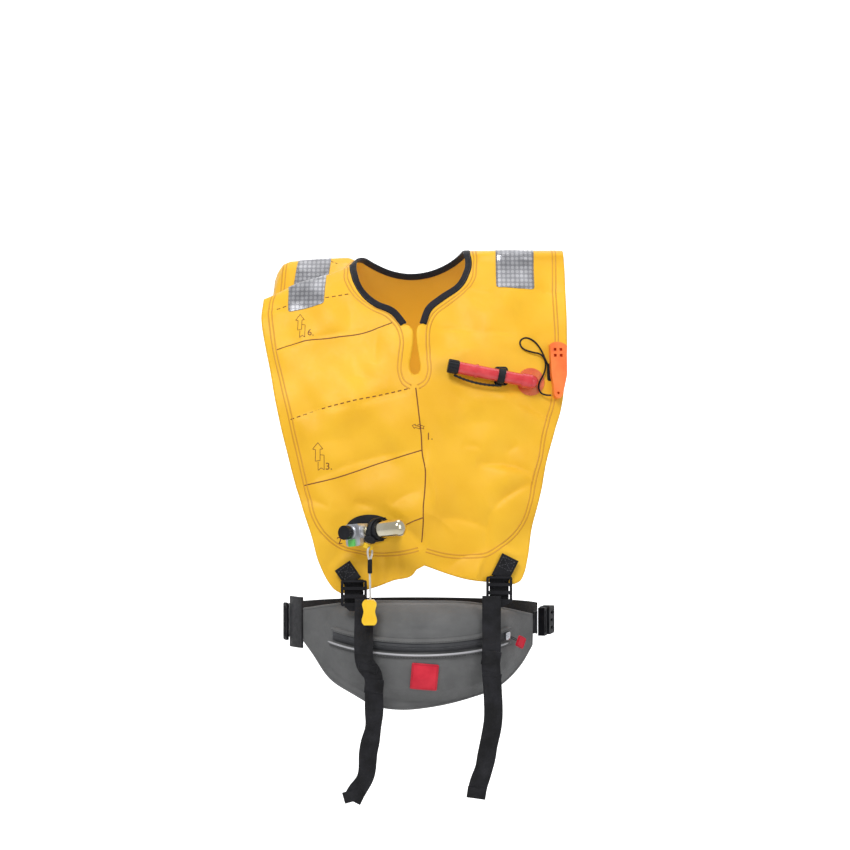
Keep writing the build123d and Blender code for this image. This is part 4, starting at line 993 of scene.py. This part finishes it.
# dents and folds in the pouch cloth: ends, depth, reach above and below
POUCH_CREASES = [
    ((-60, -433), (72, -434), -1.7, 7, 4), ((-20, -442), (30, -446), -1.2, 4, 3),
    ((30, -446), (74, -441), 1.1, 3, 4), ((-104, -440), (-84, -500), -0.9, 6, 6),
    ((60, -470), (68, -520), -2.0, 9, 6), ((-120, -430), (-122, -456), -0.9, 3, 3),
    ((-100, -420), (-96, -436), -0.8, 3, 3), ((110, -430), (112, -446), -0.9, 3, 3),
    ((-30, -506), (60, -508), -0.9, 9, 6), ((-64, -470), (-58, -516), -1.6, 8, 6),
    ((104, -448), (100, -480), -1.0, 6, 5), ((-40, -421), (50, -420), -0.8, 6, 4),
    ((20, -470), (80, -478), -0.8, 5, 6), ((-50, -474), (0, -480), -0.7, 5, 6),
]


def around(x):
    """Distance round the waist for a half width x."""
    return 152.5 * np.arcsin(np.clip(np.asarray(x, float) / 152.5, -1, 1))


def across_waist(a):
    return 152.5 * np.sin(np.asarray(a, float) / 152.5)


pouch_outline = chain(through(POUCH_TOP, 2.5), through(POUCH_END_LEFT, 2.5), through(POUCH_LOW, 2.5),
                      through(POUCH_END_RIGHT, 2.5))
pouch_flat = np.stack([around(pouch_outline[:, 0]), pouch_outline[:, 1]], -1)
flat, faces = triangles(pouch_flat, [], 2.3)
x, z = across_waist(flat[:, 0]), flat[:, 1]
rim = distance_to(pouch_flat, flat)
panel = waist_depth(x, 2.8)
bulge, height_on = bag_depth(x, z)
bulge = np.minimum(bulge, panel)
pinch = np.sqrt(1 - (1 - np.clip(rim / 17, 0, 1)) ** 2)
wing = smooth(128, 104, np.abs(x - 2))
y = panel + (bulge - panel) * pinch * wing
dents = np.zeros_like(x)
add_creases(dents, x, z, POUCH_CREASES, 0.05, 0.7, 0.03, 1.4)
for k in range(9):
    angle = 2.1 * k + 0.4
    length = 30 + 11 * ((k * 4) % 7)
    phase = (x * math.cos(angle) + z * math.sin(angle)) * 2 * math.pi / length + 1.3 * k
    dents += 0.10 * length / 40 * np.sin(phase)
calm = smooth(9, 14, np.abs(height_on)) * smooth(20, 26, np.hypot(x - 12, z + 495)) * smooth(0, 10, rim)
y = y - np.clip(dents, -3, 1.2) * calm
y = y - 0.9 * np.exp(-((rim - 4.5) / 1.6) ** 2) * smooth(0, 3, rim) * 0.6
front_points = np.stack([x, y, z], -1)
back_points = np.stack([x, waist_depth(x, 0.4), z], -1)
both, closed = shell(front_points, back_points, facing_front(front_points, faces))
pouch = make("pouch_body", both, closed, GREY, slot="grey_fabric")
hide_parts("pouch_bag", "pouch_back_panel")

# bound edge round the pouch
edge_path = np.stack([pouch_outline[:, 0], waist_depth(pouch_outline[:, 0], 1.7), pouch_outline[:, 1]], -1)
edge_path = np.concatenate([edge_path, edge_path[:1]])
verts, faces = tube(edge_path[:-1], 1.7, 8, ends=True)
make("pouch_edge_binding", verts, faces, GREY, slot="grey_fabric")


def round_bag(name, start, stop, section, material, slot, taper=0.0):
    """A section (outward radius, height) carried round the bag from one angle to another."""
    angles = np.linspace(start, stop, int(abs(stop - start) * 1.3) + 2)
    rings = []
    for k, angle in enumerate(angles):
        ends = min(k, len(angles) - 1 - k)
        f = min(1.0, 0.25 + ends / 4) if taper else 1.0
        mid_r = np.mean([r for r, _ in section])
        mid_h = np.mean([h for _, h in section])
        r = np.array([mid_r + (r - mid_r) * f for r, _ in section])
        h = np.array([mid_h + (h - mid_h) * f for _, h in section])
        points, _ = bag_point(np.full(len(r), angle), h, r)
        rings.append(points)
    verts, faces = sweep_rings(rings)
    return make(name, verts, faces, material, slot=slot)


def wheel(r, h, radius, count=10):
    a = np.linspace(0, 2 * math.pi, count, endpoint=False)
    return [(r + radius * math.cos(t), h + radius * math.sin(t)) for t in a]


ZIP_HEIGHT = -7.0
ZIP_BAND = [(129.9, ZIP_HEIGHT - 5.6), (130.9, ZIP_HEIGHT - 5.4), (131.0, ZIP_HEIGHT),
            (130.9, ZIP_HEIGHT + 5.4), (129.9, ZIP_HEIGHT + 5.6)]
WELT_UPPER = [(129, ZIP_HEIGHT + 5), (131.9, ZIP_HEIGHT + 5.0), (132.3, ZIP_HEIGHT + 5.8),
              (132.1, ZIP_HEIGHT + 7.2), (130.4, ZIP_HEIGHT + 10), (128.6, ZIP_HEIGHT + 10)]
WELT_LOWER = [(130.5, -20), (133.6, -18.5), (133.9, -16.6), (132.4, -15.6), (130.5, -15.4)]
zip_band = round_bag("zip_band", -51, 52.6, ZIP_BAND, GREY_DARK, "grey_fabric")
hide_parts("zip_tape")
for k, h in enumerate((-0.75, 0.75)):
    round_bag(f"zip_coil_{k + 1}", -50.5, 52, wheel(131.1, ZIP_HEIGHT + h, 0.55, 8), GREY_DARK, "grey_fabric")
round_bag("zip_welt_upper", -52, 53.5, WELT_UPPER, GREY, "grey_fabric", taper=1)
piping = round_bag("piping", -53, 49.6, wheel(134.1, -15.3, 1.15), PIPING, "light_piping", taper=1)
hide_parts("pouch_piping")
round_bag("zip_welt_lower", -53.5, 53, WELT_LOWER, GREY, "grey_fabric", taper=1)


def bag_stitches(name, start, stop, height, radius):
    """Stitches round the bag at one height."""
    parts = []
    step = math.degrees(3.4 / radius)
    for angle in np.arange(start, stop, step):
        run = np.linspace(angle, angle + step * 0.62, 4)
        rings = []
        for u, at in zip(np.linspace(0, 1, 4), run):
            rise = 0.45 * math.sin(math.pi * min(max(u, 0.08), 0.92)) ** 0.5
            p, _ = bag_point(np.full(4, at), np.array([height - 0.3, height - 0.18, height + 0.18,
                                                       height + 0.3]),
                             np.array([radius - 0.1, radius + rise, radius + rise, radius - 0.1]))
            rings.append(p)
        parts.append(sweep_rings(rings))
    verts, faces = joined(parts)
    return make(name, verts, faces, THREAD_GREY, slot="grey_fabric")


bag_stitches("zip_stitches_upper", -51, 52.5, ZIP_HEIGHT + 6.6, 132.1)
bag_stitches("zip_stitches_lower", -52, 52.5, -18.6, 133.7)

# plain square patch with a raised rim in place of any mark
tilt = math.radians(5)


def on_pouch(points, lift):
    """Points given about the middle of the patch, laid on the pouch's front."""
    p = np.asarray(points, float)
    px = 12 + p[:, 0] * math.cos(tilt) + p[:, 1] * math.sin(tilt)
    pz = -495 - p[:, 0] * math.sin(tilt) + p[:, 1] * math.cos(tilt)
    py, _ = bag_depth(px, pz)
    return np.stack([px, py - np.asarray(lift, float), pz], -1)


def block(name, corners, radii, low, high, material, spacing=2.0, crown=0.0):
    """A soft-edged plate on the pouch, with its outline about the middle of the patch."""
    shape = rounded(corners, radii)
    flat, faces = triangles(shape, [], spacing)
    near = distance_to(shape, flat)
    top = high - 0.55 * np.exp(-near / 0.5) + crown * smooth(0, 8, near)
    upper = on_pouch(flat, top)
    both, closed = shell(upper, on_pouch(flat, low), facing_front(upper, faces))
    return make(name, both, closed, material, slot="red_rubber")


def square(half):
    return [(-half, -half), (half, -half), (half, half), (-half, half)]


def bars(outer, inner):
    """The outlines of four bars that frame a square."""
    boxes = ((-outer, inner, outer, outer), (-outer, -outer, outer, -inner), (-outer, -inner, -inner, inner),
             (inner, -inner, outer, inner))
    return [[(x0, z0), (x1, z0), (x1, z1), (x0, z1)] for x0, z0, x1, z1 in boxes]


patch_plate = block("patch_plate", square(15.5), [2] * 4, 0.2, 2.0, RED)
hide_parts("pouch_patch")
for k, bar in enumerate(bars(15, 13.4)):
    block(f"patch_rim_{k + 1}", bar, [0.4] * 4, 1.0, 2.7, RED_RIM, spacing=1.6)


# ------------------------------------------------------------------ belt
def belt_strip(name, start, stop, grow, width, thick, material, replaced, slot, z0=-440.0, slope=0.0):
    """Webbing round the waist between two angles, with 0 at the left hip and 90 at the back."""
    angles = np.radians(np.linspace(start, stop, int(abs(stop - start) * 1.4) + 3))
    h, e = width / 2, thick / 2
    section = [(-h + 0.5, -e), (0, -e), (h - 0.5, -e), (h, -e * 0.4), (h, e * 0.4), (h - 0.5, e),
               (h * 0.5, e * 0.85), (0, e * 0.9), (-h * 0.5, e * 0.85), (-h + 0.5, e), (-h, e * 0.4),
               (-h, -e * 0.4)]
    rings, woven, gone = [], [], 0.0
    last = None
    for angle in angles:
        out = np.array([math.cos(angle) / 150, math.sin(angle) / 116, 0])
        out /= np.linalg.norm(out)
        a, b = 150 + grow + e, 116 + grow + e
        at = np.array([a * math.cos(angle), b * math.sin(angle), z0 + slope * math.sin(angle)])
        gone += 0 if last is None else float(np.linalg.norm(at - last))
        last = at
        rings.append(laid(at, section, [0, 0, 1], out))
        woven += [(p, gone, q) for p, q in section]
    verts, faces = sweep_rings(rings)
    thing = weave(make(name, verts, faces, material, slot=slot), woven)
    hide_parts(*replaced)
    return thing


belt_strip("belt_long", 12, 194, 0.1, 38, 1.5, WEB, ["belt_webbing"], "black_webbing")
belt_strip("belt_hip_loop", 197.5, 211.5, 2.6, 60, 2.2, WEB, ["belt_loop_right"], "black_webbing", z0=-439)
belt_strip("belt_left_end", -24, -19, 2.6, 26, 1.5, WEB, ["belt_short"], "black_webbing")

# thong of the zip pull, two strands from the slider to the tag
low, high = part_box("zip_pull_cord")
tag_low, tag_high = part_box("zip_pull_tag")
cord_mid = np.array((low + high) / 2) / MM
tag_mid = np.array((tag_low + tag_high) / 2) / MM
thong_way = tag_mid - cord_mid
thong_way /= np.linalg.norm(thong_way)
PULL_TURN = math.radians(49.6)
thong_out = np.array([math.sin(PULL_TURN), -math.cos(PULL_TURN) * math.cos(LEAN), 0])
thong_side = np.cross(thong_out, thong_way)
strands = []
for way in (-1, 1):
    line = [cord_mid - thong_way * 4.9 + thong_side * way * 0.5,
            cord_mid - thong_way * 2 + thong_side * way * 0.9,
            cord_mid + thong_way * 2 + thong_side * way * 1.0,
            cord_mid + thong_way * 5.2 + thong_side * way * 0.7]
    strands.append(tube(through(line, 0.7), 0.5, 10))
verts, faces = joined(strands)
thong = make("zip_pull_thong", verts, faces, BLACK_CORD, body="zip_pull", slot="black_cord")
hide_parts("zip_pull_cord")

# raised rim on the square tag
tag_hang = math.radians(-32)
tag_along = np.array([math.cos(PULL_TURN), math.sin(PULL_TURN) * math.cos(LEAN),
                      math.sin(PULL_TURN) * math.sin(LEAN)])
tag_x = tag_along * math.cos(tag_hang) + BAG_UP * math.sin(tag_hang)
tag_y = BAG_UP * math.cos(tag_hang) - tag_along * math.sin(tag_hang)
tag_z = np.cross(tag_x, tag_y)


def on_tag(name, corners, low, high, material):
    """A small soft-edged plate on the tag, about its middle."""
    shape = np.asarray(rounded(corners, [0.35] * 4))
    middle = shape.mean(axis=0)
    rings = []
    for shrink, height in ((1.0, low), (1.0, high - 0.2), (0.93, high)):
        flat = middle + (shape - middle) * shrink
        rings.append(tag_mid + np.outer(flat[:, 0], tag_x) + np.outer(flat[:, 1], tag_y) + tag_z * height)
    verts, faces = sweep_rings(rings)
    return make(name, verts, faces, material, body="zip_pull", slot="red_rubber")


for k, bar in enumerate(bars(6.2, 5.1)):
    on_tag(f"tag_rim_{k + 1}", bar, 1.0, 1.75, RED_RIM)


# ------------------------------------------------------------------ oral tube's tether and the whistle's tab
TUBE_END = np.array([51.7068, -120.771, -141.0])
TUBE_WAY = np.array([0.980197, 0.061866, -0.188115])
down = np.array([0, 0, -1.0])
tether_line = [TUBE_END + TUBE_WAY * -6 + down * 9.6, TUBE_END + TUBE_WAY * 6 + down * 12.2,
               TUBE_END + TUBE_WAY * 20 + down * 13.6, TUBE_END + TUBE_WAY * 36 + down * 13.2,
               TUBE_END + TUBE_WAY * 50 + down * 11.2]
path = through(tether_line, 1.0)
beaded = 1.15 + 0.45 * np.abs(np.sin(np.arange(len(path)) * math.pi / 5.0)) ** 3
verts, faces = tube(path, beaded, 10)
tether = make("tether_strap", verts, faces, RUBBER, body=None, slot="black_rubber")
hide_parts("cap_tether")
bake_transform(tether)

corners = front(rounded([(154, -156), (170, -156), (170, -136), (154, -136)], [3] * 4))
anchor_tab = patch("anchor_tab", corners, [], OUTER + 1.1, 1.0, 1.6, WEB, slot="black_rubber")
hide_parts("whistle_anchor")
weave(anchor_tab, [(v.co.x / MM, v.co.z / MM, 0) for v in anchor_tab.data.vertices])


# ------------------------------------------------------------------ rubber strap over the gas cylinder
GAS_AT = np.array([-64.0, -144.0, -329.0])
GAS_WAY = np.array([0.814665, -0.570434, 0.104528])
GAS_UP = np.cross(STEM_WAY, GAS_WAY)


def round_gas(along, angle, radius):
    """A point beside the cylinder and the way out of it there; angle 0 faces front, 90 down."""
    out = STEM_WAY * math.cos(math.radians(angle)) - GAS_UP * math.sin(math.radians(angle))
    return GAS_AT + GAS_WAY * along + out * radius, out


def gas_strap(name, stations, widths):
    path = through(stations, 1.2)
    placed = [round_gas(*station) for station in path]
    centre = np.array([p for p, _ in placed])
    way = np.gradient(centre, axis=0)
    rings = []
    for (point, out), ahead, u in zip(placed, way, np.linspace(0, 1, len(path))):
        side = np.cross(out, ahead / np.linalg.norm(ahead))
        half = np.interp(u, *widths)
        rings.append([point + side * half * a + out * b
                      for a, b in ((-1, 0), (-0.85, 0.65), (0, 0.8), (0.85, 0.65), (1, 0), (0.85, -0.55),
                                   (-0.85, -0.55))])
    verts, faces = sweep_rings([np.array(ring) for ring in rings])
    return make(name, verts, faces, RUBBER, slot="black_rubber")


BAND_UPPER = [(22.5, 50, 13.3), (23.5, 25, 13.4), (25, 0, 13.5), (26.5, -30, 13.5), (29, -60, 13.4),
              (33, -86, 12.9), (38, -106, 12.5)]
BAND_LOWER = [(23, 52, 13.2), (27, 72, 13.2), (31, 88, 12.9), (34, 100, 12.5)]
gas_strap("band_strap_upper", BAND_UPPER, ([0, 0.4, 1], [4.2, 3.0, 2.4]))
gas_strap("band_strap_lower", BAND_LOWER, ([0, 0.5, 1], [5.0, 3.0, 1.6]))
pad_at, pad_out = round_gas(22.5, 50, 13.9)
pad_side = np.cross(pad_out, GAS_WAY)
pad_turn = np.linspace(0, 2 * math.pi, 36, endpoint=False)
pad_rings = [pad_at + pad_out * height + np.outer(np.cos(pad_turn), GAS_WAY * radius)
             + np.outer(np.sin(pad_turn), pad_side * radius)
             for radius, height in ((6.7, -0.9), (7.1, -0.4), (7.1, 0.3), (6.6, 0.8), (5.2, 0.95), (2.5, 1.0))]
verts, faces = sweep_rings(pad_rings)
make("band_pad", verts, faces, RUBBER, slot="black_rubber")

# ------------------------------------------------------------------ finishes of the CAD parts
FINISH = {
    "oral_flange": ORANGE_DISC, "oral_elbow": RED_TUBE, "oral_tube": RED_TUBE, "tube_collar": RED_TUBE,
    "valve_seat": BLACK, "valve_poppet": BLACK, "oral_cap": BLACK, "tube_keeper": RUBBER, "whistle": WHISTLE,
    "manifold_flange": RUBBER, "manifold_stem": NICKEL, "stem_gasket_rear": RUBBER, "stem_gasket_front": RUBBER,
    "inflator_body": NICKEL, "cap_nut": BLACK, "lever": TOGGLE, "lever_pin": CHROME, "pierce_pin": CHROME,
    "indicator_clip": GREEN, "gas_cylinder": STEEL, "cylinder_seal": RUBBER, "cylinder_band": RUBBER,
    "lanyard_sleeve": RUBBER, "lanyard_toggle": TOGGLE, "ladder_lock_right": BLACK, "ladder_lock_left": BLACK,
    "zip_slider": CHROME, "zip_pull_tag": RED, "tri_glide": MATT, "buckle_socket": MATT, "buckle_plug": MATT,
    "buckle_prong_upper": BLACK, "buckle_prong_lower": BLACK,
}
for name, finish in FINISH.items():
    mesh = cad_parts[name].data
    mesh.materials.clear()
    mesh.materials.append(finish)


# ------------------------------------------------------------------ stage and light
scene = bpy.context.scene
scene.view_settings.view_transform = "Standard"
scene.view_settings.look = "None"
world = bpy.data.worlds.new("studio")
world.use_nodes = True
dial(world.node_tree.nodes["Background"], {"Color": (0.97, 0.98, 1.0, 1), "Strength": 0.52})
scene.world = world


def stage_plane(name, size, place, turn, material):
    half = size / 2
    mesh = bpy.data.meshes.new(name)
    mesh.from_pydata([(-half, -half, 0), (half, -half, 0), (half, half, 0), (-half, half, 0)], [],
                     [(0, 1, 2, 3)])
    plane = bpy.data.objects.new(name, mesh)
    plane.location = place
    plane.rotation_euler = turn
    scene.collection.objects.link(plane)
    mesh.materials.append(material)
    return plane


FLOOR = solid("studio_floor", (0.80, 0.80, 0.80), (0.84, 0.84, 0.84), 0.7)
BACKDROP, tree, bsdf = graph("studio_backdrop")
dial(bsdf, {"Base Color": (0.9, 0.9, 0.9, 1), "Roughness": 0.9, "Emission Color": (1, 1, 1, 1),
            "Emission Strength": 0.8})
stage_plane("floor", 14, (0, 0, -1.35), (0, 0, 0), FLOOR)
stage_plane("backdrop", 9, (0, 3.4, 1.2), (math.pi / 2, 0, 0), BACKDROP)


def area_light(name, place, aim, size, power):
    data = bpy.data.lights.new(name, "AREA")
    data.shape = "RECTANGLE"
    data.size, data.size_y = size
    data.energy = power
    light = bpy.data.objects.new(name, data)
    light.location = place
    light.rotation_euler = (Vector(aim) - Vector(place)).to_track_quat("-Z", "Y").to_euler()
    scene.collection.objects.link(light)


area_light("key", (-0.7, -2.0, 1.5), (0, 0, -0.25), (1.0, 0.8), 38)
area_light("fill", (1.7, -1.8, 0.2), (0, 0, -0.3), (1.0, 1.6), 9)
area_light("top", (0.2, 0.1, 1.8), (0, 0, 0), (1.6, 1.2), 8)
